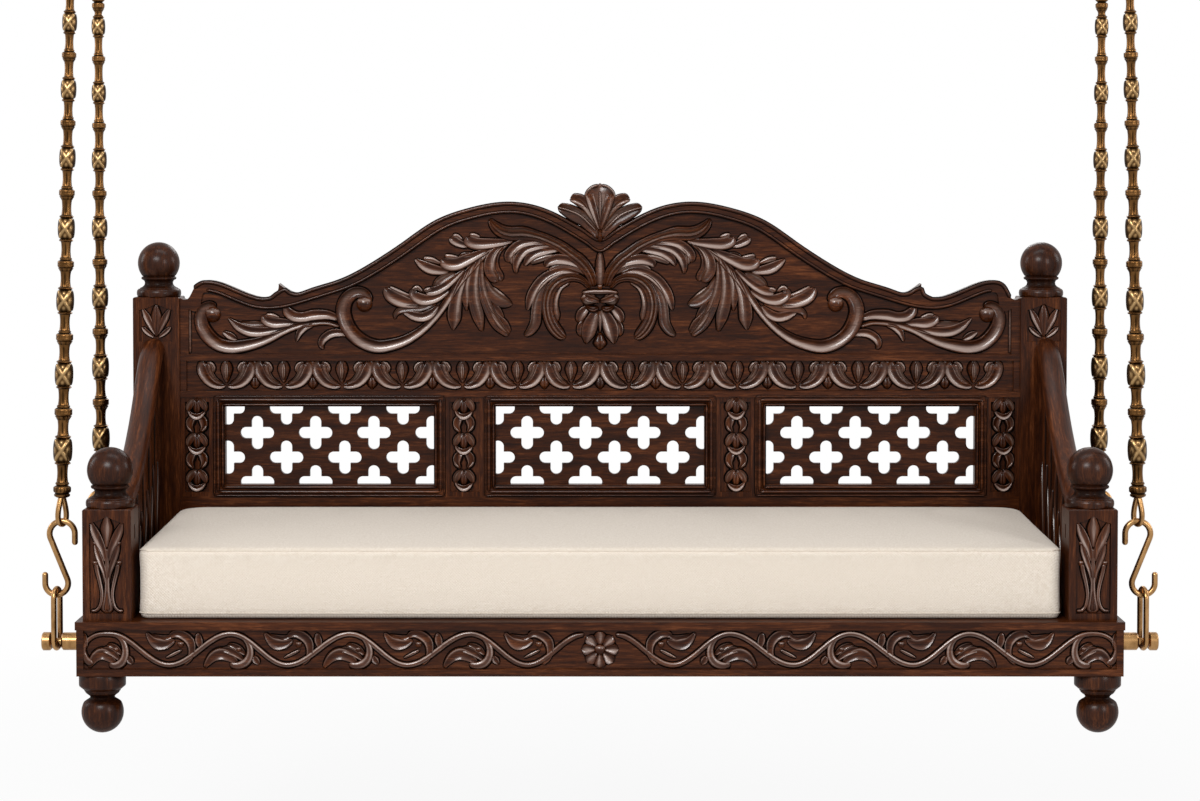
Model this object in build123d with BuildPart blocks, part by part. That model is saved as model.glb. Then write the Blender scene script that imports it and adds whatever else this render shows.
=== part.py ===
"""Jhoola: a carved hardwood swing bench on four brass chains.

Frame: +X to the right as seen from the front, +Y to the back, +Z up. Left and right are
as seen from the front. The origin is under the middle of the bench, level with its feet.
All sizes are millimetres.
"""
import math
import os

from build123d import *

# ---------------------------------------------------------------- driving dimensions
# Seat frame
seat_width = 1800.0
seat_depth = 660.0
foot_height = 104.0
rail_height = 80.0
rail_thickness = 30.0
ledge_thickness = 14.0
ledge_board_width = 96.0
ledge_overhang = 2.0
rail_recess_depth = 7.0
rail_recess_border = 12.0
leg_block_width = 70.0
leg_block_length = 100.0
bearer_count = 5
bearer_width = 45.0
bearer_height = 40.0
slat_count = 6
slat_gap = 5.0

# Feet and finials
foot_radius = 40.0
foot_ball_radius = 36.5
foot_neck_radius = 20.8
foot_disc_thickness = 18.0
foot_edge_inset = 2.0
spigot_radius = 9.0
spigot_length = 34.0
finial_height = 104.0
finial_base_radius = 41.0
finial_ball_radius = 40.5
finial_neck_radius = 27.0
finial_shoulder_inset = 5.0
finial_shoulder_drop = 14.0
finial_crown_inset = 20.0
finial_crown_drop = 2.4
finial_rise_to_middle = 12.0

# Posts
front_post_width = 84.0
front_post_height = 192.0
front_post_setback = 18.0
front_post_inset = 8.5
back_post_width = 88.0
back_post_depth = 82.0
back_post_height = 533.0
back_post_inset = 12.0
post_tenon = 30.0
post_tenon_length = 34.0
post_recess_border = 12.0
post_recess_depth = 5.0
post_recess_rise = 12.0
back_post_recess_height = 72.0
peep_recess_height = 26.0
peep_recess_width = 9.0

# Arms
arm_width = 44.0
arm_thickness = 38.0
arm_axis_inset = 50.0
arm_top_height = 438.0
arm_low_height = 182.0
side_panel_thickness = 20.0
side_panel_border = 24.0
side_panel_recess = 4.0

# Back
back_board_setback = 8.0
back_board_thickness = 34.0
strip_height = 11.5
strip_proud = 4.0
frieze_height = 58.5
frieze_recess_depth = 8.0
frieze_end_border = 12.0
lattice_zone_height = 190.0
bottom_rail_height = 152.5
opening_height = 149.7
moulding_width = 21.0
moulding_depth = 20.0
moulding_bevel = 9.0
inner_stile_width = 76.0
outer_stile_width = 64.0
stile_recess_border = 9.0
stile_recess_depth = 7.0
jali_thickness = 12.0
jali_hole_height = 64.0
jali_arm_radius = 11.0
jali_columns = 8
jali_rows = 4
jali_side_margin = 4.0
jali_end_margin = 4.0

# Crest, measured from the top of its base strip
crest_thickness = 30.0
crest_band_width = 22.0
crest_band_proud = 8.0
crest_peak_height = 290.0
fleuron_rise = 34.0
fleuron_height = 102.0
fleuron_thickness = 24.0
fleuron_lobe_width = 34.0
fleuron_lobes = ((0, 1.0), (-24, 0.97), (24, 0.97), (-50, 0.88), (50, 0.88))
boss_rise = 8.0
boss_width = 72.0
boss_height = 112.0
boss_depth = 14.0

# Cushion
cushion_thickness = 125.0
cushion_side_gap = 7.5
cushion_front_setback = 12.0
cushion_back_gap = 2.0
cushion_corner_radius = 28.0
cushion_edge_radius = 12.0

# Hangers
pin_setback = 90.0
pin_collar_radius = 15.5
pin_collar_length = 40.0
pin_neck_radius = 6.0
pin_neck_length = 17.5
pin_cap_radius = 16.0
pin_cap_length = 16.5
pin_shank_radius = 9.0
pin_nut_width = 28.0
pin_nut_thickness = 14.0
washer_radius = 20.0
washer_thickness = 3.0
wire_radius = 5.25
link_wire_radius = 5.0
link_width = 34.0
link_height = 103.5
link_yaw = 8.0
eye_width = 28.0
eye_height = 52.0
eye_yaw = 14.0
hook_top_radius = 22.0
hook_low_radius = 20.0
hook_spacing = 87.0
hook_tip_length = 20.0
front_hook_offset = 10.3
front_chain_top_offset = 31.0
rear_chain_top_offset = 0.0
ferrule_length = 22.0
front_bead_rise = 72.0
rear_bead_rise = 50.0
front_first_pitch = 132.0
rear_first_pitch = 135.0
front_pitch_step = 3.2
rear_pitch_step = 2.0
bead_count = 7
bead_radius_low = 17.5
bead_radius_high = 13.5
bead_length = 42.0
ferrule_edge = 3.0
ferrule_ring_high = 8.0
ferrule_neck_high = 10.0
ferrule_band_low = 13.0
pivot_height = 1352.0
staple_radius = 20.0
staple_wire_radius = 6.0
staple_leg = 40.0
plate_radius = 48.0
plate_thickness = 8.0
plate_hole_circle = 72.0
plate_hole_radius = 3.5
plate_hole_count = 4

# Clearances
fit_gap = 0.2
seat_gap = 0.3

# ---------------------------------------------------------------- derived places
half_width = seat_width / 2
half_depth = seat_depth / 2
frame_bottom = foot_height
frame_top = frame_bottom + rail_height
deck_top = frame_top + ledge_thickness
inner_half_depth = half_depth - rail_thickness
block_inner_y = inner_half_depth - leg_block_length

front_post_x = half_width - front_post_inset - front_post_width / 2
front_post_y = -half_depth + front_post_setback + front_post_width / 2
front_post_top = deck_top + front_post_height
front_post_back = front_post_y + front_post_width / 2
back_post_x = half_width - back_post_inset - back_post_width / 2
back_post_y = half_depth - back_post_depth / 2
back_post_top = deck_top + back_post_height
back_post_front = back_post_y - back_post_depth / 2
back_post_inner = back_post_x - back_post_width / 2
# Three openings of one width share what the stiles and mouldings leave between the posts.
opening_width = 2 * (back_post_inner - outer_stile_width - inner_stile_width
                     - 3 * moulding_width) / 3

foot_x = half_width - foot_radius + foot_edge_inset
foot_y = half_depth - foot_radius - foot_edge_inset
tenon_x = half_width - leg_block_width / 2
tenon_y = half_depth - back_post_depth + post_tenon / 2

back_face = back_post_front + back_board_setback
strip_face = back_face - strip_proud
lattice_bottom = deck_top + bottom_rail_height
lattice_top = lattice_bottom + lattice_zone_height
frieze_bottom = lattice_top + strip_height
frieze_top = frieze_bottom + frieze_height
crest_base = frieze_top + strip_height

arm_x = half_width - arm_axis_inset
sides = {"left": -1, "right": 1}
ends = {"front": -1, "rear": 1}


def x_facing(side, x):
    """Plane seen from outside one end of the bench: local x towards the back, local y up."""
    return Plane(origin=(side * x, 0, 0), x_dir=(0, 1, 0), z_dir=(1, 0, 0))


def y_facing(y):
    """Plane seen from the front: local x to +X, local y up, normal towards the viewer."""
    return Plane(origin=(0, y, 0), x_dir=(1, 0, 0), z_dir=(0, -1, 0))


def save(part, name):
    """Label a finished piece and write it as one STEP file."""
    part.label = name
    export_step(part, f"parts/{name}.step")


os.makedirs("parts", exist_ok=True)

# ---------------------------------------------------------------- seat frame
with BuildPart() as front_rail:
    with BuildSketch(Plane.XY.offset(frame_bottom)):
        with Locations((0, -half_depth + rail_thickness / 2)):
            Rectangle(seat_width, rail_thickness)
    extrude(amount=rail_height)
    with BuildSketch(y_facing(-half_depth)):
        with Locations((0, frame_top - (rail_height - rail_recess_border) / 2)):
            Rectangle(seat_width - 2 * rail_recess_border, rail_height - rail_recess_border)
    extrude(amount=-rail_recess_depth, mode=Mode.SUBTRACT)
save(front_rail.part, "front_rail")

with BuildPart() as back_rail:
    with BuildSketch(Plane.XY.offset(frame_bottom)):
        with Locations((0, half_depth - rail_thickness / 2)):
            Rectangle(seat_width, rail_thickness)
    extrude(amount=rail_height)
save(back_rail.part, "back_rail")

for side_name, side in sides.items():
    with BuildPart() as side_rail:
        with BuildSketch(Plane.XY.offset(frame_bottom)):
            with Locations((side * (half_width - rail_thickness / 2), 0)):
                Rectangle(rail_thickness, 2 * block_inner_y)
        extrude(amount=rail_height)
        with BuildSketch(x_facing(side, half_width)):
            with Locations((0, frame_top - (rail_height - rail_recess_border) / 2)):
                Rectangle(2 * (block_inner_y - rail_recess_border), rail_height - rail_recess_border)
        extrude(amount=-side * rail_recess_depth, mode=Mode.SUBTRACT)
    save(side_rail.part, f"side_rail_{side_name}")

pin_y = half_depth - pin_setback
pin_z = frame_bottom + (rail_height + ledge_thickness) / 2
with BuildPart() as leg_blocks:
    for side in sides.values():
        for end in ends.values():
            with BuildSketch(Plane.XY.offset(frame_bottom)):
                block_x = half_width - leg_block_width / 2
                block_y = inner_half_depth - leg_block_length / 2
                with Locations((side * block_x, end * block_y)):
                    Rectangle(leg_block_width, leg_block_length)
            extrude(amount=rail_height)
            with BuildSketch(Plane.XY.offset(frame_bottom)):
                with Locations((side * foot_x, end * foot_y)):
                    Circle(spigot_radius + fit_gap)
            extrude(amount=spigot_length + fit_gap, mode=Mode.SUBTRACT)
            with BuildSketch(Plane.XY.offset(frame_top)):
                with Locations((side * tenon_x, end * tenon_y)):
                    Rectangle(post_tenon + 2 * fit_gap, post_tenon + 2 * fit_gap)
            extrude(amount=-post_tenon_length + ledge_thickness - fit_gap, mode=Mode.SUBTRACT)
            with BuildSketch(x_facing(side, half_width)):
                with Locations((end * pin_y, pin_z)):
                    Circle(pin_shank_radius + fit_gap)
            extrude(amount=-side * leg_block_width, mode=Mode.SUBTRACT)
save(leg_blocks.part, "leg_blocks")

ledge_half_x = half_width + ledge_overhang
ledge_half_y = half_depth + ledge_overhang
with BuildPart() as seat_ledge:
    with BuildSketch(Plane.XY.offset(frame_top)):
        with Locations((0, ledge_half_y - ledge_board_width / 2),
                       (0, -ledge_half_y + ledge_board_width / 2)):
            Rectangle(2 * ledge_half_x, ledge_board_width)
        with Locations((ledge_half_x - ledge_board_width / 2, 0),
                       (-ledge_half_x + ledge_board_width / 2, 0)):
            Rectangle(ledge_board_width, 2 * (ledge_half_y - ledge_board_width - fit_gap))
        for side in sides.values():
            for end in ends.values():
                with Locations((side * tenon_x, end * tenon_y)):
                    Rectangle(post_tenon + 2 * fit_gap, post_tenon + 2 * fit_gap, mode=Mode.SUBTRACT)
    extrude(amount=ledge_thickness)
save(seat_ledge.part, "seat_ledge")

deck_half_depth = half_depth + ledge_overhang - ledge_board_width
deck_half_width = half_width + ledge_overhang - ledge_board_width
bearer_reach = half_width - leg_block_width - bearer_width / 2 - pin_nut_thickness - 12
with BuildPart() as cross_bearers:
    with BuildSketch(Plane.XY.offset(frame_top - bearer_height)):
        with GridLocations(2 * bearer_reach / (bearer_count - 1), 1, bearer_count, 1):
            Rectangle(bearer_width, 2 * inner_half_depth)
    extrude(amount=bearer_height)
save(cross_bearers.part, "cross_bearers")

slat_pitch = (2 * deck_half_depth - slat_gap) / slat_count
with BuildPart() as seat_slats:
    with BuildSketch(Plane.XY.offset(frame_top)):
        with GridLocations(1, slat_pitch, 1, slat_count):
            Rectangle(2 * (deck_half_width - slat_gap), slat_pitch - slat_gap)
    extrude(amount=ledge_thickness)
save(seat_slats.part, "seat_slats")

# ---------------------------------------------------------------- turned feet and finials
for side_name, side in sides.items():
    for end_name, end in ends.items():
        with BuildPart() as foot:
            disc_low = foot_height - foot_disc_thickness
            ball_top = 2 * foot_ball_radius * 0.87
            step = (disc_low - ball_top) / 5
            neck_z = ball_top + step
            cut_angle = math.degrees(math.asin((ball_top - foot_ball_radius) / foot_ball_radius))
            with BuildSketch(Plane.XZ):
                with BuildLine():
                    ball = CenterArc((0, foot_ball_radius), foot_ball_radius, -90, 90 + cut_angle)
                    Line(ball @ 1, (foot_neck_radius, neck_z))
                    Polyline(
                        (foot_neck_radius, neck_z),
                        (foot_neck_radius + 7, neck_z + step),
                        (foot_neck_radius + 9, neck_z + step),
                        (foot_neck_radius + 9, neck_z + 2 * step),
                        (foot_neck_radius + 12, neck_z + 2 * step),
                        (foot_radius - 4, disc_low - step / 2),
                        (foot_radius, disc_low + 3),
                        (foot_radius, foot_height),
                        (spigot_radius, foot_height),
                        (spigot_radius, foot_height + spigot_length),
                        (0, foot_height + spigot_length),
                        (0, 0),
                    )
                make_face()
            revolve(axis=Axis.Z)
        placed = foot.part.moved(Location((side * foot_x, end * foot_y, 0)))
        save(placed, f"foot_{end_name}_{side_name}")


def turned_finial(x, y, z):
    """Ball finial on a moulded base, turned about its own axis, with a spigot below."""
    base_height = finial_height * 0.155
    ring_low = finial_height * 0.33
    ball_low = finial_height * 0.365
    ball_middle = finial_height * 0.63
    with BuildPart() as finial:
        with BuildSketch(Plane.XZ):
            with BuildLine():
                Polyline((0, -spigot_length), (spigot_radius, -spigot_length), (spigot_radius, 0),
                         (finial_base_radius - 2, 0))
                Spline(
                    (finial_base_radius - 2, 0),
                    (finial_base_radius, base_height / 2),
                    (finial_base_radius - 4, base_height),
                    tangents=((1, 0.6), (-1, 0.5)),
                )
                Spline(
                    (finial_base_radius - 4, base_height),
                    (finial_neck_radius + 1, base_height * 1.5),
                    (finial_neck_radius, ring_low - 3),
                    (finial_neck_radius + 3.5, ring_low),
                    tangents=((-1, 0.4), (1, 0.6)),
                )
                Polyline((finial_neck_radius + 3.5, ring_low), (finial_neck_radius + 3.5, ball_low))
                Spline(
                    (finial_neck_radius + 3.5, ball_low),
                    (finial_ball_radius - 2, ball_low + finial_rise_to_middle),
                    (finial_ball_radius, ball_middle),
                    (finial_ball_radius - finial_shoulder_inset, finial_height - finial_shoulder_drop),
                    (finial_ball_radius - finial_crown_inset, finial_height - finial_crown_drop),
                    (0, finial_height),
                    tangents=((1, 0.8), (-1, 0)),
                )
                Line((0, finial_height), (0, -spigot_length))
            make_face()
        revolve(axis=Axis.Z)
    return finial.part.moved(Location((x, y, z)))


for side_name, side in sides.items():
    save(turned_finial(side * front_post_x, front_post_y, front_post_top), f"finial_front_{side_name}")
    save(turned_finial(side * back_post_x, back_post_y, back_post_top), f"finial_back_{side_name}")

# ---------------------------------------------------------------- posts
def arched_panel(width, height):
    """Panel outline with a shallow pointed head, drawn from the middle of its foot."""
    shoulder = height - post_recess_rise
    crown = height - post_recess_rise / 2
    with BuildSketch() as panel:
        with BuildLine():
            Polyline((-width / 2, shoulder), (-width / 2, 0), (width / 2, 0), (width / 2, shoulder))
            Spline((width / 2, shoulder), (width / 5, crown), (0, height))
            Spline((0, height), (-width / 5, crown), (-width / 2, shoulder))
        make_face()
    return panel.sketch


panel_width = front_post_width - 2 * post_recess_border
panel_height = front_post_height - 2 * post_recess_border
front_post_panel = arched_panel(panel_width, panel_height)
back_post_panel = arched_panel(back_post_width - 2 * post_recess_border, back_post_recess_height)


for side_name, side in sides.items():
    with BuildPart() as front_post:
        with BuildSketch(Plane.XY.offset(deck_top)):
            with Locations((side * front_post_x, front_post_y)):
                Rectangle(front_post_width, front_post_width)
        extrude(amount=front_post_height)
        chamfer(front_post.faces().sort_by(Axis.Z)[-1].edges(), 2)
        front_face = front_post_y - front_post_width / 2
        with BuildSketch(
            Plane(origin=(side * front_post_x, front_face, deck_top + post_recess_border),
                  x_dir=(1, 0, 0), z_dir=(0, -1, 0))
        ):
            add(front_post_panel)
        extrude(amount=-post_recess_depth, mode=Mode.SUBTRACT)
        outer_face = side * (front_post_x + front_post_width / 2)
        with BuildSketch(
            Plane(origin=(outer_face, front_post_y, deck_top + post_recess_border),
                  x_dir=(0, side, 0), z_dir=(side, 0, 0))
        ):
            add(front_post_panel)
        extrude(amount=-post_recess_depth, mode=Mode.SUBTRACT)
        peep_z = deck_top + 0.78 * front_post_height
        with BuildSketch(x_facing(side, front_post_x - front_post_width / 2)):
            with Locations((front_post_y, peep_z)):
                SlotOverall(peep_recess_height, peep_recess_width, rotation=90)
        extrude(amount=side * post_recess_depth, mode=Mode.SUBTRACT)
        with BuildSketch(Plane.XY.offset(deck_top)):
            with Locations((side * tenon_x, -tenon_y)):
                Rectangle(post_tenon, post_tenon)
        extrude(amount=-post_tenon_length)
        with BuildSketch(Plane.XY.offset(front_post_top)):
            with Locations((side * front_post_x, front_post_y)):
                Circle(spigot_radius + fit_gap)
        extrude(amount=-spigot_length - fit_gap, mode=Mode.SUBTRACT)
    save(front_post.part, f"front_post_{side_name}")

    with BuildPart() as back_post:
        with BuildSketch(Plane.XY.offset(deck_top)):
            with Locations((side * back_post_x, back_post_y)):
                Rectangle(back_post_width, back_post_depth)
        extrude(amount=back_post_height)
        chamfer(back_post.faces().sort_by(Axis.Z)[-1].edges(), 2)
        recess_foot = back_post_top - post_recess_border - back_post_recess_height
        with BuildSketch(
            Plane(origin=(side * back_post_x, back_post_front, recess_foot),
                  x_dir=(1, 0, 0), z_dir=(0, -1, 0))
        ):
            add(back_post_panel)
        extrude(amount=-post_recess_depth, mode=Mode.SUBTRACT)
        with BuildSketch(Plane.XY.offset(deck_top)):
            with Locations((side * tenon_x, tenon_y)):
                Rectangle(post_tenon, post_tenon)
        extrude(amount=-post_tenon_length)
        with BuildSketch(Plane.XY.offset(back_post_top)):
            with Locations((side * back_post_x, back_post_y)):
                Circle(spigot_radius + fit_gap)
        extrude(amount=-spigot_length - fit_gap, mode=Mode.SUBTRACT)
    save(back_post.part, f"back_post_{side_name}")

# ---------------------------------------------------------------- arms and side panels
arm_run = back_post_front - front_post_back
arm_drop = arm_top_height - arm_low_height
# Shares of the run from front post to back post, and of the rise; both ends run on into the
# posts' planes and are cut off there.
arm_shares = ((-0.03, -0.005), (0.30, 0.09), (0.52, 0.30), (0.74, 0.60), (0.92, 0.90), (1.04, 1.01))
arm_points = [
    (front_post_back + run * arm_run, deck_top + arm_low_height + rise * arm_drop)
    for run, rise in arm_shares
]
for side_name, side in sides.items():
    arm_plane = x_facing(side, arm_x)
    with BuildLine(arm_plane) as arm_path:
        Spline(*arm_points)
    with BuildPart() as arm_rail:
        start = arm_path.line @ 0
        with BuildSketch(Plane(origin=start, x_dir=(1, 0, 0), z_dir=arm_path.line % 0)):
            Ellipse(arm_width / 2, arm_thickness / 2)
        sweep(path=arm_path.line)
        with BuildSketch(Plane.XY.offset(deck_top)):
            with Locations((side * arm_x, (front_post_back + back_post_front) / 2)):
                Rectangle(2 * arm_width, arm_run)
        extrude(amount=back_post_height, mode=Mode.INTERSECT)
    save(arm_rail.part, f"arm_rail_{side_name}")

    panel_face_x = arm_x - side_panel_thickness / 2
    under_points = []
    for step in range(13):
        place = arm_path.line @ (step / 12)
        along = arm_path.line % (step / 12)
        reach = arm_thickness / 2 + seat_gap
        under_points.append((place.Y + along.Z * reach, place.Z - along.Y * reach))
    first_y, first_z = under_points[0]
    last_y, last_z = under_points[-1]
    with BuildPart() as side_panel:
        with BuildSketch(x_facing(side, panel_face_x)) as panel_outline:
            with BuildLine():
                Spline(*under_points)
                Polyline(
                    (last_y, last_z),
                    (last_y, deck_top),
                    (first_y, deck_top),
                    (first_y, first_z),
                )
            make_face()
            with Locations((front_post_back + arm_run / 2, deck_top + back_post_height / 2)):
                Rectangle(arm_run, back_post_height, mode=Mode.INTERSECT)
        extrude(amount=side * side_panel_thickness)
        for face_x, inward in ((panel_face_x, side), (panel_face_x + side_panel_thickness, -side)):
            with BuildSketch(x_facing(side, face_x)):
                add(panel_outline.sketch.moved(Location((side * (face_x - panel_face_x), 0, 0))))
                offset(amount=-side_panel_border, kind=Kind.INTERSECTION, mode=Mode.REPLACE)
            extrude(amount=inward * side_panel_recess, mode=Mode.SUBTRACT)
    save(side_panel.part, f"side_panel_{side_name}")

# ---------------------------------------------------------------- back frame
inner_stile_x = opening_width / 2 + moulding_width + inner_stile_width / 2
side_panel_x = inner_stile_x + inner_stile_width / 2 + moulding_width + opening_width / 2
outer_stile_inner = side_panel_x + opening_width / 2 + moulding_width
back_width = 2 * back_post_inner


def back_rail_board(width, low, high, front, recess=None):
    """Level board of the back; a recess, where given, is (width, height, depth)."""
    with BuildPart() as board:
        with BuildSketch(y_facing(front)):
            with Locations((0, (low + high) / 2)):
                Rectangle(width, high - low)
        extrude(amount=-(back_face + back_board_thickness - front))
        if recess:
            with BuildSketch(y_facing(front)):
                with Locations((0, (low + high) / 2)):
                    Rectangle(recess[0], recess[1])
            extrude(amount=-recess[2], mode=Mode.SUBTRACT)
    return board.part


save(back_rail_board(back_width, deck_top, lattice_bottom, back_face), "back_bottom_rail")
save(back_rail_board(back_width, lattice_top, frieze_bottom, strip_face), "back_mid_rail")
frieze_recess = (back_width - 2 * frieze_end_border, frieze_height, frieze_recess_depth)
save(back_rail_board(back_width, frieze_bottom, frieze_top, back_face, frieze_recess), "frieze_board")
save(back_rail_board(back_width, frieze_top, crest_base, strip_face), "crest_base_rail")

stile_sizes = {
    "inner_stiles": (inner_stile_x, inner_stile_width),
    "outer_stiles": (outer_stile_inner + outer_stile_width / 2, outer_stile_width),
}
for name, (middle, width) in stile_sizes.items():
    with BuildPart() as stiles:
        for side in sides.values():
            centre = (side * middle, lattice_bottom + lattice_zone_height / 2)
            with BuildSketch(y_facing(back_face)):
                with Locations(centre):
                    Rectangle(width, lattice_zone_height)
            extrude(amount=-back_board_thickness)
            with BuildSketch(y_facing(back_face)):
                with Locations(centre):
                    Rectangle(width - 2 * stile_recess_border,
                              lattice_zone_height - 2 * stile_recess_border)
            extrude(amount=-stile_recess_depth, mode=Mode.SUBTRACT)
    save(stiles.part, name)

opening_middle = lattice_bottom + lattice_zone_height / 2 + 2
column_pitch = (opening_width - 2 * jali_side_margin) / (jali_columns - 1)
row_pitch = (opening_height - 2 * jali_end_margin) / (jali_rows - 1)
panels = {"left": -side_panel_x, "centre": 0.0, "right": side_panel_x}
mouldings = []
for name, middle in panels.items():
    zone_centre = (middle, lattice_bottom + lattice_zone_height / 2)
    zone_width = opening_width + 2 * moulding_width
    with BuildPart() as moulding:
        with BuildSketch(y_facing(strip_face)):
            with Locations(zone_centre):
                Rectangle(zone_width, lattice_zone_height)
            with Locations((middle, opening_middle)):
                Rectangle(opening_width, opening_height, mode=Mode.SUBTRACT)
        extrude(amount=-moulding_depth)
        chamfer(moulding.faces().sort_by(Axis.Y)[0].inner_wires()[0].edges(), moulding_bevel)
    mouldings.append(moulding.part)

    with BuildPart() as jali:
        with BuildSketch(mode=Mode.PRIVATE) as crosses:
            for column in range(jali_columns):
                for row in range(jali_rows):
                    if (column + row) % 2 == 0:
                        cross_x = middle + (column - (jali_columns - 1) / 2) * column_pitch
                        cross_z = opening_middle + ((jali_rows - 1) / 2 - row) * row_pitch
                        with Locations((cross_x, cross_z)):
                            SlotOverall(jali_hole_height, 2 * jali_arm_radius)
                            SlotOverall(jali_hole_height, 2 * jali_arm_radius, rotation=90)
            with Locations((middle, opening_middle)):
                Rectangle(opening_width, opening_height, mode=Mode.INTERSECT)
        with BuildSketch(y_facing(strip_face + moulding_depth)):
            with Locations(zone_centre):
                Rectangle(zone_width, lattice_zone_height)
            add(crosses.sketch, mode=Mode.SUBTRACT)
        extrude(amount=-jali_thickness)
    save(jali.part, f"jali_{name}")
save(Compound(children=mouldings), "panel_mouldings")

# ---------------------------------------------------------------- crest
# Left half of the top edge: shares of the half width, and of the peak's height above the base.
low_wave = ((1.0, 0.374), (0.984, 0.361), (0.959, 0.464), (0.927, 0.484), (0.883, 0.448),
            (0.836, 0.394), (0.792, 0.375), (0.7725, 0.399), (0.7646, 0.464))
high_wave = ((0.7646, 0.464), (0.749, 0.432), (0.729, 0.405), (0.693, 0.427), (0.625, 0.486),
             (0.532, 0.618), (0.46, 0.75), (0.389, 0.881), (0.31, 0.96), (0.217, 1.0),
             (0.143, 0.967), (0.1025, 0.921), (0.0, 0.762))
low_points = [(-x * back_post_inner, crest_base + z * crest_peak_height) for x, z in low_wave]
high_points = [(-x * back_post_inner, crest_base + z * crest_peak_height) for x, z in high_wave]
with BuildLine() as low_edge:
    Spline(*low_points)
with BuildLine() as high_edge:
    Spline(*high_points)


def inward(line, share):
    """Point one band's width below the edge, square to it."""
    place = line.line @ share
    along = line.line % share
    return (place.X + along.Y * crest_band_width, place.Y - along.X * crest_band_width)


# The band's lower edge runs on under the cusp, from one wave to the other.
band_reach = [inward(low_edge, 0.12 + 0.08 * step) for step in range(9)]
band_reach += [inward(high_edge, 0.12 + 0.08 * step) for step in range(11)]
band_reach += [(0.0, high_points[-1][1] - 1.25 * crest_band_width)]
band_start = (-back_post_inner + 0.75 * crest_band_width, low_points[0][1] - crest_band_width)
# Under a narrow wave the edge would fold back on itself, so it keeps the points that run on.
band_points = []
for x, z in band_reach:
    if x > (band_points[-1] if band_points else band_start)[0]:
        band_points.append((x, z))
crest_face_y = back_face
with BuildSketch() as crest_outline:
    with BuildLine():
        Spline(*low_points)
        Spline(*high_points)
        Polyline(high_points[-1], (0, crest_base), (-back_post_inner, crest_base), low_points[0])
    make_face()
    mirror(about=Plane.YZ)
with BuildSketch() as crest_field:
    with BuildLine():
        Spline(band_start, *band_points)
        Polyline(
            band_points[-1],
            (0, crest_base + seat_gap),
            (band_start[0], crest_base + seat_gap),
            band_start,
        )
    make_face()
    mirror(about=Plane.YZ)
with BuildPart() as crest_board:
    with BuildSketch(y_facing(crest_face_y + crest_band_proud)):
        add(crest_outline.sketch)
    extrude(amount=-crest_thickness)
save(crest_board.part, "crest_board")

with BuildPart() as crest_moulding:
    with BuildSketch(y_facing(crest_face_y)):
        add(crest_outline.sketch)
        add(crest_field.sketch, mode=Mode.SUBTRACT)
    extrude(amount=-crest_band_proud)
save(crest_moulding.part, "crest_moulding")

fleuron_top = crest_base + crest_peak_height + fleuron_rise
fleuron_root = fleuron_top - fleuron_height
with BuildPart() as crest_fleuron:
    with BuildSketch(y_facing(crest_face_y - fleuron_thickness)):
        for turn, reach in fleuron_lobes:
            lobe_length = fleuron_height * reach
            tilt = math.radians(turn)
            middle_x = lobe_length / 2 * math.sin(tilt)
            middle_z = fleuron_root + lobe_length / 2 * math.cos(tilt)
            with Locations((middle_x, middle_z)):
                Ellipse(lobe_length / 2, fleuron_lobe_width / 2, rotation=90 - turn)
    extrude(amount=-fleuron_thickness)
save(crest_fleuron.part, "crest_fleuron")

with BuildPart() as crest_boss:
    boss_z = crest_base + boss_rise + boss_height / 2
    field_y = crest_face_y + crest_band_proud
    for forward, share in ((0, 1.0), (boss_depth * 0.7, 0.85), (boss_depth, 0.5)):
        with BuildSketch(y_facing(field_y - forward)):
            with Locations((0, boss_z)):
                Ellipse(share * boss_width / 2, share * boss_height / 2)
    loft(ruled=True)
save(crest_boss.part, "crest_boss")

# ---------------------------------------------------------------- cushion
cushion_half = front_post_x - front_post_width / 2 - cushion_side_gap
cushion_front = -half_depth + front_post_setback + cushion_front_setback
cushion_back = back_post_front - cushion_back_gap
with BuildPart() as cushion:
    with BuildSketch(Plane.XY.offset(deck_top + seat_gap)):
        with Locations((0, (cushion_front + cushion_back) / 2)):
            RectangleRounded(2 * cushion_half, cushion_back - cushion_front, cushion_corner_radius)
    extrude(amount=cushion_thickness)
    fillet(cushion.faces().sort_by(Axis.Z)[-1].edges(), cushion_edge_radius)
    fillet(cushion.faces().sort_by(Axis.Z)[0].edges(), cushion_edge_radius)
save(cushion.part, "cushion")

# ---------------------------------------------------------------- hangers
# Each hanger hangs square to the swing's axis and is the same height, so the bench stays level.
pin_neck_x = half_width + pin_collar_length + pin_neck_length / 2
link_low = pin_z - pin_neck_radius - seat_gap - link_wire_radius
link_high = link_low + link_height
hook_low_z = link_high - link_wire_radius - seat_gap - wire_radius + hook_low_radius
hook_high_z = hook_low_z + hook_spacing
eye_low = hook_high_z + hook_top_radius - wire_radius - seat_gap - link_wire_radius
ferrule_low = eye_low + eye_height
top_eye_high = pivot_height + staple_wire_radius + seat_gap + link_wire_radius
top_ferrule_high = top_eye_high - eye_height


def outward(side, y):
    """Plane across the bench: local x away from its middle, local y up."""
    return Plane(origin=(0, y, 0), x_dir=(side, 0, 0), z_dir=(0, -side, 0))


def yawed(side, x, y, yaw):
    """Upright plane through a hanger, from back to front, turned a little outwards in front."""
    turn = math.radians(yaw)
    return Plane(
        origin=(side * x, y, 0),
        x_dir=(side * math.sin(turn), -math.cos(turn), 0),
        z_dir=(-math.cos(turn), -side * math.sin(turn), 0),
    )


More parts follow.
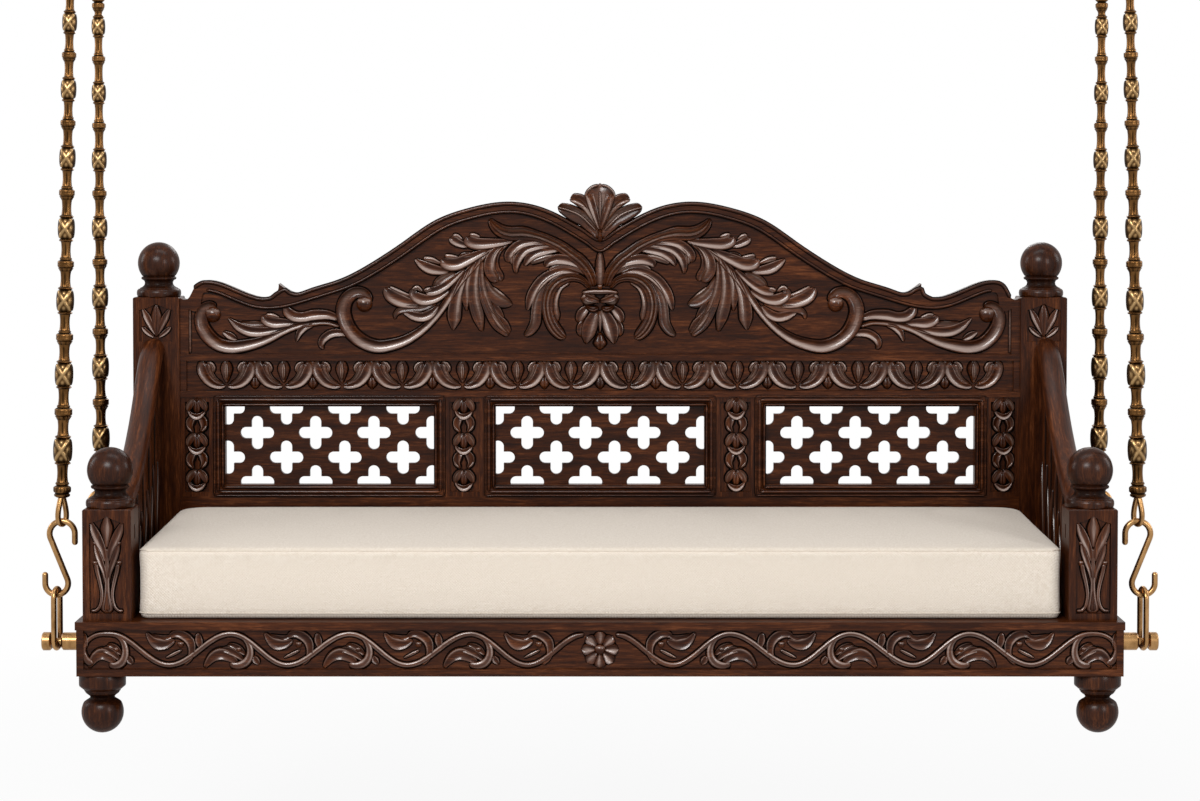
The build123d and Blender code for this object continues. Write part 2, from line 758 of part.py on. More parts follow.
def oval_link(plane, low, high, width, radius):
    """Closed oval link of round wire; low and high are the middle of the wire."""
    bend = width / 2
    with BuildPart() as link:
        with BuildLine(plane) as path:
            Line((bend, low + bend), (bend, high - bend))
            CenterArc((0, high - bend), bend, 0, 180)
            Line((-bend, high - bend), (-bend, low + bend))
            CenterArc((0, low + bend), bend, 180, 180)
        start = path.line @ 0
        with BuildSketch(Plane(origin=start, z_dir=path.line % 0)):
            Circle(radius)
        sweep(path=path.line)
    return link.part


def s_hook(side, y, lean):
    """S-hook of round wire; its top stands in from its foot by the lean."""
    reach = math.hypot(lean, hook_spacing)
    slope = math.atan2(-hook_spacing, lean)
    spread = math.acos((hook_top_radius + hook_low_radius) / reach)
    crossing = math.degrees(slope + spread)
    top_x = pin_neck_x - lean
    across = (math.cos(math.radians(crossing)), math.sin(math.radians(crossing)))
    top_tangent = (top_x + hook_top_radius * across[0], hook_high_z + hook_top_radius * across[1])
    low_tangent = (pin_neck_x - hook_low_radius * across[0], hook_low_z - hook_low_radius * across[1])
    with BuildPart() as hook:
        with BuildLine(outward(side, y)) as path:
            top_inner = top_x - hook_top_radius
            low_outer = pin_neck_x + hook_low_radius
            tip_run = hook_tip_length - wire_radius
            Line((top_inner, hook_high_z - tip_run), (top_inner, hook_high_z))
            CenterArc((top_x, hook_high_z), hook_top_radius, 180, crossing - 180)
            Line(top_tangent, low_tangent)
            CenterArc((pin_neck_x, hook_low_z), hook_low_radius, 180 + crossing, 180 - crossing)
            Line((low_outer, hook_low_z), (low_outer, hook_low_z + tip_run))
        start = path.line @ 0
        with BuildSketch(Plane(origin=start, z_dir=path.line % 0)):
            Circle(wire_radius)
        sweep(path=path.line)
        with Locations(path.line @ 0, path.line @ 1):
            Sphere(wire_radius)
    return hook.part


def chain_line(side, end_name):
    """Foot and head of a chain's own axis."""
    if end_name == "front":
        foot_x = pin_neck_x - front_hook_offset
        head_x = foot_x - front_chain_top_offset + front_hook_offset
        y = -pin_y
    else:
        foot_x = pin_neck_x
        head_x = foot_x - rear_chain_top_offset
        y = pin_y
    foot = Vector(side * foot_x, y, ferrule_low)
    head = Vector(side * head_x, y, top_ferrule_high)
    return foot, head


def turned_link(low, high, bead, scale):
    """Half outline of one link along the chain: (radius, height) pairs round its barrel bead."""
    barrel = bead_length * scale / 2
    ring = bead_radius_low * scale
    tube = ring * 0.53
    collar = ring * 0.76
    above = high - bead
    below = bead - low
    return [
        (0, low),
        (tube * 1.12, low),
        (tube, low + below * 0.1),
        (tube * 0.92, bead - barrel - 0.25 * (below - barrel)),
        (tube * 1.05, bead - barrel),
        (ring * 0.84, bead - barrel),
        (ring * 0.84, bead - barrel * 0.86),
        (ring * 0.98, bead - barrel * 0.4),
        (ring, bead),
        (ring * 0.98, bead + barrel * 0.4),
        (ring * 0.84, bead + barrel * 0.86),
        (ring * 0.84, bead + barrel),
        (tube * 1.05, bead + barrel),
        (tube * 0.92, bead + barrel + 0.3 * (above - barrel)),
        (tube, high - collar * 0.95),
        (collar * 0.8, high - collar * 0.95),
        (collar * 0.8, high - collar * 0.6),
        (collar, high - collar * 0.5),
        (collar, high - collar * 0.1),
        (collar * 0.85, high),
        (0, high),
    ]


def eye_loop(plane, root, tip, radius):
    """Open eye that runs out of a ferrule at its root and turns over at its tip."""
    toward = 1 if tip > root else -1
    bend = eye_width / 2
    centre = tip - toward * bend
    neck = link_wire_radius * 0.9
    with BuildPart() as eye:
        with BuildLine(plane) as path:
            first = Line((neck, root), (neck, root + toward * radius))
            arc = CenterArc((0, centre), bend, 0, toward * 180)
            Spline(first @ 1, arc @ 0, tangents=((0, toward), (0, toward)))
            last = Line((-neck, root + toward * radius), (-neck, root))
            Spline(arc @ 1, last @ 0, tangents=((0, -toward), (0, -toward)))
        start = path.line @ 0
        with BuildSketch(Plane(origin=start, z_dir=path.line % 0)):
            Circle(radius)
        sweep(path=path.line)
    return eye.part


for side_name, side in sides.items():
    for end_name, end in ends.items():
        y = end * pin_y
        name = f"{end_name}_{side_name}"

        with BuildPart() as pin:
            collar_end = half_width + pin_collar_length
            neck_end = collar_end + pin_neck_length
            cap_end = neck_end + pin_cap_length
            shank_end = half_width - leg_block_width - washer_thickness - pin_nut_thickness
            with BuildSketch(outward(side, y)):
                with BuildLine():
                    Polyline(
                        (shank_end, pin_z),
                        (shank_end, pin_z + pin_shank_radius),
                        (half_width, pin_z + pin_shank_radius),
                        (half_width, pin_z + pin_collar_radius),
                        (collar_end - 3, pin_z + pin_collar_radius),
                        (collar_end, pin_z + pin_collar_radius - 3),
                        (collar_end, pin_z + pin_neck_radius),
                        (neck_end, pin_z + pin_neck_radius),
                        (neck_end, pin_z + pin_cap_radius - 3),
                        (neck_end + 3, pin_z + pin_cap_radius),
                        (cap_end - 2, pin_z + pin_cap_radius),
                        (cap_end, pin_z + pin_cap_radius - 2),
                        (cap_end, pin_z),
                        close=True,
                    )
                make_face()
            revolve(axis=Axis((0, y, pin_z), (1, 0, 0)))
        save(pin.part, f"hanger_pin_{name}")

        link = oval_link(yawed(side, pin_neck_x, y, link_yaw), link_low, link_high,
                         link_width, link_wire_radius)
        save(link, f"shackle_{name}")

        lean = front_hook_offset if end_name == "front" else 0.0
        save(s_hook(side, y, lean), f"s_hook_{name}")

with BuildPart() as pin_nuts:
    for side in sides.values():
        for end in ends.values():
            washer_face = half_width - leg_block_width
            with BuildSketch(x_facing(side, washer_face)):
                with Locations((end * pin_y, pin_z)):
                    Circle(washer_radius)
                    Circle(pin_shank_radius + fit_gap, mode=Mode.SUBTRACT)
            extrude(amount=-side * washer_thickness)
            with BuildSketch(x_facing(side, washer_face - washer_thickness)):
                with Locations((end * pin_y, pin_z)):
                    RegularPolygon(pin_nut_width / 2, 6, major_radius=False)
                    Circle(pin_shank_radius + fit_gap, mode=Mode.SUBTRACT)
            extrude(amount=-side * pin_nut_thickness)
save(pin_nuts.part, "pin_nuts")

for side_name, side in sides.items():
    for end_name, end in ends.items():
        foot, head = chain_line(side, end_name)
        along = (head - foot).normalized()
        chain_plane = Plane(origin=foot, x_dir=(along.Z, 0, -along.X), z_dir=(0, -1, 0))
        chain_axis = Axis(foot, along)
        length = (head - foot).length
        bead_rise = front_bead_rise if end_name == "front" else rear_bead_rise
        pitch = front_first_pitch if end_name == "front" else rear_first_pitch
        pitch_step = front_pitch_step if end_name == "front" else rear_pitch_step
        beads = [ferrule_length / 2 + bead_rise]
        for index in range(bead_count - 1):
            next_bead = beads[-1] + pitch - index * pitch_step
            if next_bead + bead_length < length - ferrule_length:
                beads.append(next_bead)
        joints = [ferrule_length]
        joints += [low + 0.56 * (high - low) for low, high in zip(beads, beads[1:])]
        joints += [length - ferrule_length]
        outlines = []
        for index, bead in enumerate(beads):
            shrink = index / (bead_count - 1) * (1 - bead_radius_high / bead_radius_low)
            outlines.append(turned_link(joints[index] + seat_gap / 2,
                                        joints[index + 1] - seat_gap / 2, bead, 1 - shrink))
        for low, radius in ((0, bead_radius_low), (length - ferrule_length, bead_radius_high)):
            outlines.append([
                (0, low), (radius * 0.6, low), (radius * 0.78, low + ferrule_edge),
                (radius * 0.78, low + ferrule_ring_high), (radius * 0.6, low + ferrule_neck_high),
                (radius * 0.72, low + ferrule_band_low),
                (radius * 0.72, low + ferrule_length - ferrule_edge),
                (radius * 0.55, low + ferrule_length), (0, low + ferrule_length),
            ])
        pieces = []
        for outline in outlines:
            with BuildPart() as turned:
                with BuildSketch(chain_plane):
                    with BuildLine():
                        Polyline(*outline, close=True)
                    make_face()
                revolve(axis=chain_axis)
            pieces.append(turned.part)
        low_eye = eye_loop(yawed(side, abs(foot.X), foot.Y, eye_yaw),
                           ferrule_low - seat_gap, eye_low, link_wire_radius)
        top_eye = eye_loop(yawed(side, abs(head.X), head.Y, 0),
                           top_ferrule_high + seat_gap, top_eye_high, link_wire_radius)
        save(Compound(children=pieces + [low_eye, top_eye]), f"chain_{end_name}_{side_name}")

# ---------------------------------------------------------------- ceiling fittings
plate_low = pivot_height + staple_leg
with BuildPart() as ceiling_plates:
    for side in sides.values():
        for end_name in ends:
            head = chain_line(side, end_name)[1]
            with BuildSketch(Plane.XY.offset(plate_low)):
                with Locations((head.X, head.Y)):
                    Circle(plate_radius)
                    with PolarLocations(plate_hole_circle / 2, plate_hole_count, start_angle=45):
                        Circle(plate_hole_radius, mode=Mode.SUBTRACT)
            extrude(amount=plate_thickness)
save(ceiling_plates.part, "ceiling_plates")

with BuildPart() as ceiling_staples:
    for side in sides.values():
        for end_name in ends:
            head = chain_line(side, end_name)[1]
            with BuildLine(Plane(origin=(head.X, head.Y, 0), x_dir=(1, 0, 0),
                                 z_dir=(0, -1, 0))) as path:
                bend_z = pivot_height + staple_radius
                Line((-staple_radius, plate_low), (-staple_radius, bend_z))
                CenterArc((0, bend_z), staple_radius, 180, 180)
                Line((staple_radius, bend_z), (staple_radius, plate_low))
            start = path.line @ 0
            with BuildSketch(Plane(origin=start, z_dir=path.line % 0)):
                Circle(staple_wire_radius)
            sweep(path=path.line)
save(ceiling_staples.part, "ceiling_staples")
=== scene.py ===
"""Looks of the jhoola: a carved rosewood swing bench, its brass hangers and its linen cushion.

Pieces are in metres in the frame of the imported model: +X right, +Y back, +Z up. The tables of
carving strokes are in millimetres, as a carver marks them on the board.
"""
import math

import bmesh
import bpy
import numpy as np
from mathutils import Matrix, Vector
from mathutils.bvhtree import BVHTree


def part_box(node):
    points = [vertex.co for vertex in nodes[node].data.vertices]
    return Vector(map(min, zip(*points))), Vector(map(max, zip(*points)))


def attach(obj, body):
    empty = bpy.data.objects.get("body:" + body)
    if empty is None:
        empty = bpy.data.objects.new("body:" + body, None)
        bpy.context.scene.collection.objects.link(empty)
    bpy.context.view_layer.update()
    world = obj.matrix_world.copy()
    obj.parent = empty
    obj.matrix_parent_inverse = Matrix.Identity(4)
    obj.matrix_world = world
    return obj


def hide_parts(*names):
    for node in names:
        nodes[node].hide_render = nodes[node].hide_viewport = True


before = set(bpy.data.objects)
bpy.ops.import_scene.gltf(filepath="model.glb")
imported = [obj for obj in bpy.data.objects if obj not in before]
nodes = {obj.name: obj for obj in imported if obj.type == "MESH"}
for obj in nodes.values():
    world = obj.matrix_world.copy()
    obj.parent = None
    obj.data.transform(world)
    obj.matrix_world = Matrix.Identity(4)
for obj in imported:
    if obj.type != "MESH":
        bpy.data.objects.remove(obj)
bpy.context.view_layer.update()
scene = bpy.context.scene

# Faces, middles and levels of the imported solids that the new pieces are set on, in millimetres.
# Sideways places are those of the right hand, and the left hand has them with a minus.
crest_field, crest_base = 264.0, 622.0
palmette_field = 252.0
stile_field = 259.0
stile_middles = {"outer": 768.5, "inner": 259.5}
lattice_field, lattice_level = 252.0, 447.5
lattice_wide, lattice_tall = 398.0, 149.7
lattice_middles = {"left": -516.0, "centre": 0.0, "right": 516.0}
front_rail_field, side_rail_field = -323.0, 893.0
front_post = {"middle": 849.5, "depth": -270.0, "front_field": -307.0, "end_field": 886.5,
              "top": 390.0}
back_post = {"middle": 844.0, "depth": 289.0, "front_field": 253.0, "top": 731.0}
panel_inner_face, panel_groove, panel_outer_face, stalk_root = 840.0, 845.0, 860.0, 230.0
foot_middle, foot_depth = 862.0, 288.0
chain_foot_level, chain_head_level = 403.1, 1311.3
both_hands = (("left", -1.0), ("right", 1.0))


# ---------------------------------------------------------------- finishes
class Value:
    """A shader output. Sums, differences and products of it add Math nodes."""

    def __init__(self, sheet, socket):
        self.sheet = sheet
        self.socket = socket

    def math(self, operation, *terms):
        return self.sheet.node("ShaderNodeMath", {"operation": operation}, dict(enumerate(terms)))

    def __add__(self, other):
        return self.math("ADD", self, other)

    __radd__ = __add__

    def __sub__(self, other):
        return self.math("SUBTRACT", self, other)

    def __rsub__(self, other):
        return self.math("SUBTRACT", other, self)

    def __mul__(self, other):
        return self.math("MULTIPLY", self, other)

    __rmul__ = __mul__

    def between(self, low, high):
        """0 below low, 1 above high, and even in between."""
        return self.sheet.node("ShaderNodeMapRange", {"clamp": True}, {0: self, 1: low, 2: high})


class Sheet:
    """The nodes of one material or of the world."""

    def __init__(self, owner):
        owner.use_nodes = True
        self.owner = owner
        self.tree = owner.node_tree
        self.tree.nodes.clear()

    def node(self, kind, settings=None, inputs=None, output=0):
        """Adds a node: settings first, then a value or a link on each socket."""
        made = self.tree.nodes.new(kind)
        for key, value in (settings or {}).items():
            if key == "stops":
                while len(made.color_ramp.elements) < len(value):
                    made.color_ramp.elements.new(0.5)
                for element, (place, colour) in zip(made.color_ramp.elements, value):
                    element.position = place
                    element.color = (*colour, 1.0)
            else:
                setattr(made, key, value)
        for key, value in (inputs or {}).items():
            self.feed(made.inputs[key], value)
        return Value(self, made.outputs[output]) if made.outputs else None

    def feed(self, socket, value):
        if isinstance(value, Value):
            self.tree.links.new(value.socket, socket)
        else:
            socket.default_value = value

    def background_rays(self):
        """1 where the eye, a mirror or a glass looks straight at the background."""
        kinds = ("Is Camera Ray", "Is Glossy Ray", "Is Transmission Ray")
        eye, mirror, glass = (self.node("ShaderNodeLightPath", output=kind) for kind in kinds)
        return eye + mirror + glass


class Finish(Sheet):
    """One material: a Principled surface and the nodes that feed it."""

    def __init__(self, name, constants):
        super().__init__(bpy.data.materials.new(name))
        shown = self.node("ShaderNodeBsdfPrincipled", {}, constants)
        self.surface = shown.socket.node
        self.node("ShaderNodeOutputMaterial", {}, {"Surface": shown})

    def object_place(self, scale, turn=(0.0, 0.0, 0.0), start=(0.0, 0.0, 0.0)):
        """The place on the piece, turned first and then scaled along the turned axes."""
        place = self.node("ShaderNodeTexCoord", output="Object")
        turned = self.node("ShaderNodeMapping", {}, {"Vector": place, "Rotation": turn})
        return self.node("ShaderNodeMapping", {},
                         {"Vector": turned, "Scale": scale, "Location": start})

    def noise(self, place, scale, detail=4.0, rough=0.55, distortion=0.0):
        return self.node("ShaderNodeTexNoise", {}, {
            "Vector": place, "Scale": scale, "Detail": detail, "Roughness": rough,
            "Distortion": distortion}, "Fac")

    def mark(self, name):
        return self.node("ShaderNodeAttribute", {"attribute_name": name}, {}, "Fac")

    def tint(self, share, first, second):
        """First colour at share 0, second at share 1."""
        first = first if isinstance(first, Value) else (*first, 1.0)
        second = second if isinstance(second, Value) else (*second, 1.0)
        return self.node("ShaderNodeMix", {"data_type": "RGBA"}, {0: share, 6: first, 7: second}, 2)

    def bump(self, height, strength, depth):
        return self.node("ShaderNodeBump", {}, {"Height": height, "Strength": strength,
                                                "Distance": depth})

    def paint(self, **links):
        for key, value in links.items():
            self.feed(self.surface.inputs[key.replace("_", " ")], value)
        return self.owner


def rosewood(name, along, turn=(0.0, 0.0, 0.0), start=(0.0, 0.0, 0.0), shade=1.0, gloss=0.05,
             polish=0.20, depth=0.12):
    """Oiled rosewood. Noise drawn out along the grain gives broad figure, narrow streaks and
    open pores. The mark of painted shade, partly stain, turns a cut almost black. The mark of
    painted highlight, partly wear, lightens the wood and thickens its polish."""
    wood = Finish(name, {"Specular IOR Level": 0.04, "Coat IOR": 2.4, "Coat Roughness": polish})
    drawn = [11.0, 11.0, 11.0]
    drawn["xyz".index(along)] = 0.9
    place = wood.object_place(tuple(drawn), turn, start)
    figure = wood.noise(place, 2.6, 4.0, 0.6, 1.6)
    streaks = wood.noise(place, 17.0, 5.0, 0.65, 0.9)
    pores = wood.noise(place, 66.0, 3.0, 0.6)
    cloud = wood.noise(wood.object_place((1.0, 1.0, 1.0), turn, start), 5.0, 3.0)
    tone = figure * 0.36 + streaks * 0.44 + pores * 0.20
    ground = wood.node("ShaderNodeValToRGB", {"stops": [
        (0.37, (0.0110 * shade, 0.0024 * shade, 0.0006 * shade)),
        (0.46, (0.0290 * shade, 0.0066 * shade, 0.0014 * shade)),
        (0.53, (0.0560 * shade, 0.0138 * shade, 0.0030 * shade)),
        (0.62, (0.1350 * shade, 0.0400 * shade, 0.0120 * shade)),
    ]}, {"Fac": tone})
    deep = wood.tint(cloud.between(0.38, 0.72) * 0.45, ground, (0.0160, 0.0038, 0.0011))
    recess = wood.mark("recess")
    ridge = wood.mark("ridge")
    # Painted highlight: a broad brown lightening, partly wear, then a whitish painted highlight where
    # the mark is strongest.
    painted_sheen_and_wear = wood.tint(ridge.between(0.12, 1.0) * 0.85, deep, (0.150, 0.066, 0.038))
    highlight_and_rubbing = ridge + streaks * 0.5 - 0.25
    painted_highlight = wood.tint(highlight_and_rubbing.between(0.45, 1.05) * 0.9, painted_sheen_and_wear, (0.43, 0.34, 0.30))
    # Painted shade: almost black where the shade mark is.
    cut = wood.tint(recess, painted_highlight, (0.0012, 0.0004, 0.0002))
    grain = pores * 0.6 + streaks * 0.4
    return wood.paint(
        Base_Color=cut,
        Roughness=0.30 + pores * 0.12 + recess * 0.40,
        Coat_Weight=ridge * 0.24 - recess * gloss + gloss,
        Normal=wood.bump(grain, depth, 0.0006))


def brass(name, colour, patina, rough=0.24):
    """Old brass: polished where hands and links rub it, brown where the polish never reaches, with
    painted highlight on raised parts and painted shade in slits and grooves.
    """
    metal = Finish(name, {"Metallic": 1.0})
    place = metal.object_place((1.0, 1.0, 0.45))
    stain = metal.noise(place, 70.0, 4.0, 0.6, 0.5)
    specks = metal.noise(place, 420.0, 2.0, 0.6)
    recess = metal.mark("recess")
    aged = metal.tint(stain.between(0.40, 0.66) * 0.75, colour, patina)
    # Raised bands: polished by wear, lightened further as painted highlight.
    highlight_and_rubbing = metal.tint(metal.mark("ridge") * 0.5, aged, (0.62, 0.42, 0.20))
    # Grooves and slits: patina and painted shade, almost black.
    cut = metal.tint(recess, highlight_and_rubbing, (0.012, 0.006, 0.002))
    return metal.paint(
        Base_Color=cut,
        Roughness=rough + stain * 0.10 + specks * 0.08 + recess * 0.30,
        Normal=metal.bump(stain * 0.7 + specks * 0.3, 0.10, 0.0008))


def linen(name):
    """Unbleached linen: warp and weft as two crossed waves, swollen by slubs of noise."""
    cloth = Finish(name, {"Sheen Weight": 0.2, "Sheen Roughness": 0.5, "Specular IOR Level": 0.2})
    place = cloth.object_place((1.0, 1.0, 1.0))
    across, back, up = (cloth.node("ShaderNodeSeparateXYZ", {}, {"Vector": place}, axis)
                        for axis in "XYZ")
    slub = cloth.noise(place, 170.0, 3.0, 0.7)
    thread = 2 * math.pi / 0.0050
    warp = (across + slub * 0.0032) * thread
    weft = (up + back + slub * 0.0032) * thread
    weave = warp.math("SINE", warp) * weft.math("SINE", weft) * 0.5 + 0.5
    fleck = cloth.noise(place, 300.0, 3.0, 0.7)
    soft = cloth.noise(place, 9.0, 3.0)
    yarn = cloth.tint(weave * 0.50 + fleck.between(0.3, 0.7) * 0.50,
                      (0.53, 0.435, 0.335), (0.91, 0.84, 0.755))
    shade = cloth.tint(soft.between(0.35, 0.7) * 0.18, yarn, (0.68, 0.60, 0.51))
    # Painted shade along the seams, as in their creases.
    seam = cloth.tint(cloth.mark("recess") * 0.18, shade, (0.45, 0.36, 0.27))
    return cloth.paint(
        Base_Color=seam,
        Roughness=0.86 + fleck * 0.1,
        Normal=cloth.bump(weave * 0.5 + fleck * 0.5 + slub * 0.3, 0.5, 0.0012))


wood_along = rosewood("rosewood_along", "x")
wood_upright = rosewood("rosewood_upright", "z", start=(3.1, 1.7, 0.4))
wood_across = rosewood("rosewood_across", "y", start=(0.6, 0.0, 2.2))
wood_lattice = rosewood("rosewood_lattice", "x", start=(1.3, 0.2, 5.1), shade=0.92)
wood_turned = rosewood("rosewood_turned", "z", start=(7.0, 2.0, 0.9), shade=0.72, gloss=0.06,
                       polish=0.26, depth=0.03)
wood_arm = rosewood("rosewood_arm", "z", turn=(math.radians(52), 0.0, 0.0), start=(0.2, 4.0, 1.0),
                    shade=1.25, gloss=0.12, polish=0.32, depth=0.06)
wood_carved = rosewood("rosewood_carved", "x", start=(2.2, 0.0, 1.4), shade=1.12)
wood_carved_upright = rosewood("rosewood_carved_upright", "z", start=(5.2, 0.0, 1.4), shade=1.12)
brass_wire = brass("brass_wire", (0.41, 0.232, 0.096), (0.19, 0.095, 0.034), 0.20)
brass_cast = brass("brass_cast", (0.155, 0.074, 0.024), (0.040, 0.017, 0.005), 0.20)
linen_cloth = linen("linen_cloth")

finish_of = {"crest_board": wood_along, "crest_moulding": wood_along, "crest_base_rail": wood_along,
             "frieze_board": wood_along, "panel_mouldings": wood_along}


def node_finish(name):
    """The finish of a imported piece, by the way its grain runs."""
    if name in finish_of:
        return finish_of[name]
    if name.startswith(("chain", "staple", "ceiling")):
        return brass_cast
    if name.startswith(("s_hook", "shackle", "hanger_pin", "pin_nuts")):
        return brass_wire
    if name.startswith("jali"):
        return wood_lattice
    if name.startswith(("foot", "finial")):
        return wood_turned
    if name.startswith("arm_rail"):
        return wood_arm
    if name.startswith(("side_rail", "cross_bearers")):
        return wood_across
    if "post" in name or "stile" in name or name.startswith(("side_panel", "leg_blocks")):
        return wood_upright
    return wood_along


for name, node in nodes.items():
    node.data.materials.clear()
    node.data.materials.append(node_finish(name))


# ---------------------------------------------------------------- shells
def eased(rows, spacing):
    """Smooth line through the rows. Each span is the cubic whose end slopes are half the step
    between a row's two neighbours; it is then sampled along its length, closer at both ends."""
    rows = np.asarray(rows, float)
    ends = np.vstack([2 * rows[0] - rows[1], rows, 2 * rows[-1] - rows[-2]])
    t = np.linspace(0, 1, 16, endpoint=False)[None, :, None]
    p, q, r, s = (ends[k:len(ends) - 3 + k, None, :] for k in range(4))
    spans = 0.5 * (2 * q + (r - p) * t + (2 * p - 5 * q + 4 * r - s) * t ** 2
                   + (3 * q - p - 3 * r + s) * t ** 3)
    fine = np.vstack([spans.reshape(-1, rows.shape[1]), rows[-1:]])
    steps = np.linalg.norm(np.diff(fine[:, :2], axis=0), axis=1)
    length = np.concatenate([[0], np.cumsum(steps)])
    even = np.linspace(0, 1, int(np.clip(length[-1] / spacing, 9, 300)))
    places = length[-1] * (0.6 * even + 0.4 * (1 - np.cos(np.pi * even)) / 2)
    line = np.stack([np.interp(places, length, column) for column in fine.T], axis=1)
    return line, places


def closed_shell(rings, poles, recess, ridge):
    """Closed skin over rings of points with a pole at each end, or without poles from the last
    ring back to the first. Its signed volume says which way the faces look, and they are turned
    round where it is negative."""
    count, around = rings.shape[:2]
    index = np.arange(count * around).reshape(count, around)
    ahead = index[1:] if poles is not None else np.roll(index, -1, axis=0)
    behind = index[:len(ahead)]
    quads = np.stack([behind, np.roll(behind, -1, axis=1), np.roll(ahead, -1, axis=1), ahead],
                     axis=-1).reshape(-1, 4)
    points, fans = rings.reshape(-1, 3), np.empty((0, 3), int)
    marks = [recess.ravel(), ridge.ravel()]
    if poles is not None:
        first = np.full(around, count * around)
        fans = np.vstack([np.stack([first, np.roll(index[0], -1), index[0]], axis=-1),
                          np.stack([first + 1, index[-1], np.roll(index[-1], -1)], axis=-1)])
        points = np.vstack([points, poles])
        marks = [np.append(mark.ravel(), [mark[0].mean(), mark[-1].mean()])
                 for mark in (recess, ridge)]
    triangles = np.vstack([quads[:, :3], quads[:, [0, 2, 3]], fans])
    a, b, c = ((points - points.mean(axis=0))[triangles[:, k]] for k in range(3))
    if np.einsum("ij,ij->", a, np.cross(b, c)) < 0:
        quads, fans = quads[:, ::-1], fans[:, ::-1]
    return {"points": points, "quads": quads, "fans": fans, "recess": marks[0], "ridge": marks[1]}


def add_piece(name, shells, body, finish, crease=40.0, replaced=()):
    """One mesh from closed shells in millimetres, its marks as point attributes, riding on a
    body. Edges sharper than the crease angle stay sharp."""
    starts = np.cumsum([0] + [len(shell["points"]) for shell in shells[:-1]])
    points = np.vstack([shell["points"] for shell in shells]) / 1000
    quads = np.vstack([shell["quads"] + start for shell, start in zip(shells, starts)])
    fans = np.vstack([shell["fans"] + start for shell, start in zip(shells, starts)])
    mesh = bpy.data.meshes.new(name)
    mesh.from_pydata(points.tolist(), [], quads.tolist() + fans.tolist())
    for mark in ("recess", "ridge"):
        values = np.concatenate([shell[mark] for shell in shells]).astype(np.float32)
        mesh.attributes.new(mark, "FLOAT", "POINT").data.foreach_set("value", values)
    mesh.polygons.foreach_set("use_smooth", np.ones(len(mesh.polygons), bool))
    mesh.set_sharp_from_angle(angle=math.radians(crease))
    mesh.materials.append(finish)
    piece = bpy.data.objects.new(name, mesh)
    scene.collection.objects.link(piece)
    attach(piece, body)
    if replaced:
        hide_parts(*replaced)
    return piece


# Outlines across a stroke: place across it (-1 to 1), share of its full height, and how much
# painted highlight, partly wear, lightens it.
sections = {
    "leaf": [(-1, 0, 0), (-.97, .55, .2), (-.90, .92, .8), (-.80, 1, .8), (-.62, .86, .9),
             (-.35, .66, 1), (-.05, .56, .8), (.2, .58, .5), (.45, .68, .4), (.68, .78, .6),
             (.84, .74, .8), (.95, .42, .2), (1, 0, 0)],
    "ribs": [(-1, 0, 0), (-.96, .55, 0), (-.86, .95, .1), (-.74, 1, .5), (-.58, .78, 1),
             (-.42, .68, .8), (-.3, .80, .3), (-.22, .90, .1), (-.1, .74, .9), (.06, .62, 1),
             (.2, .68, .5), (.3, .78, .1), (.38, .72, .1), (.52, .55, .7), (.68, .52, .4),
             (.84, .55, .1), (.95, .36, 0), (1, 0, 0)],
    "stem": [(-1, 0, 0), (-.97, .6, 0), (-.90, .95, 0), (-.80, 1, .2), (-.64, .82, .8),
             (-.35, .58, 1), (0, .48, 1), (.35, .52, .6), (.6, .68, .2), (.78, .86, 0),
             (.88, .82, 0), (.96, .5, 0), (1, 0, 0)],
    "bud": [(-1, 0, 0), (-.95, .44, 0), (-.72, .84, .2), (-.36, 1, .7), (-.12, .90, .2), (0, .76, 0),
            (.12, .90, .2), (.36, 1, .7), (.72, .84, .1), (.95, .44, 0), (1, 0, 0)],
    "scoop": [(-1, 0, 0), (-.96, .70, 0), (-.84, 1, .2), (-.62, .84, .6), (-.3, .58, 1),
              (0, .48, 1), (.3, .58, .8), (.62, .84, .3), (.84, 1, .1), (.96, .70, 0), (1, 0, 0)],
    "bead": [(-1, 0, 0), (-.9, .46, 0), (-.55, .88, .5), (-.2, 1, .5), (.2, 1, .5), (.55, .88, .5),
             (.9, .46, 0), (1, 0, 0)],
    "curl": [(-1, 0, 0), (-.97, .55, .2), (-.90, .92, .9), (-.80, 1, .9), (-.62, .86, .5),
             (-.35, .70, .3), (-.05, .62, .2), (.2, .66, .3), (.45, .78, .7), (.62, .86, 1),
             (.78, .86, .6), (.92, .5, 0), (1, 0, 0)],
    "rope": [(-1, 0, 0), (-.94, .44, 0), (-.82, .68, .6), (-.64, .84, 1), (-.4, .95, 1),
             (-.15, 1, .8), (.15, 1, .8), (.4, .95, 1), (.64, .84, 1), (.82, .68, .6),
             (.94, .44, 0), (1, 0, 0)],
}


def cut(kind, rise, rows, lift=0.0, flip=False, skirt=2.4, base=0.8):
    """One carving stroke. Rows are (across, up, width) along its middle. Its section is scaled
    by the width across and by the square root of the width upwards, its ends are rounded, and
    a skirt painted dark with shade runs out onto the board, or down the back of a leaf that
    stands free (one whose base lies more than 5 behind its board)."""
    return {"kind": kind, "rise": rise, "rows": rows, "lift": lift, "flip": flip,
            "skirt": skirt, "base": base}


# The painted highlight is lit from above and a little from the right: the share of right and of
# up in the light's way, the slope that it lightens most, and how quickly it fades on other slopes.
highlight_light_way, highlight_slope, highlight_spread = np.array([0.32, 0.95]), 0.46, 0.27


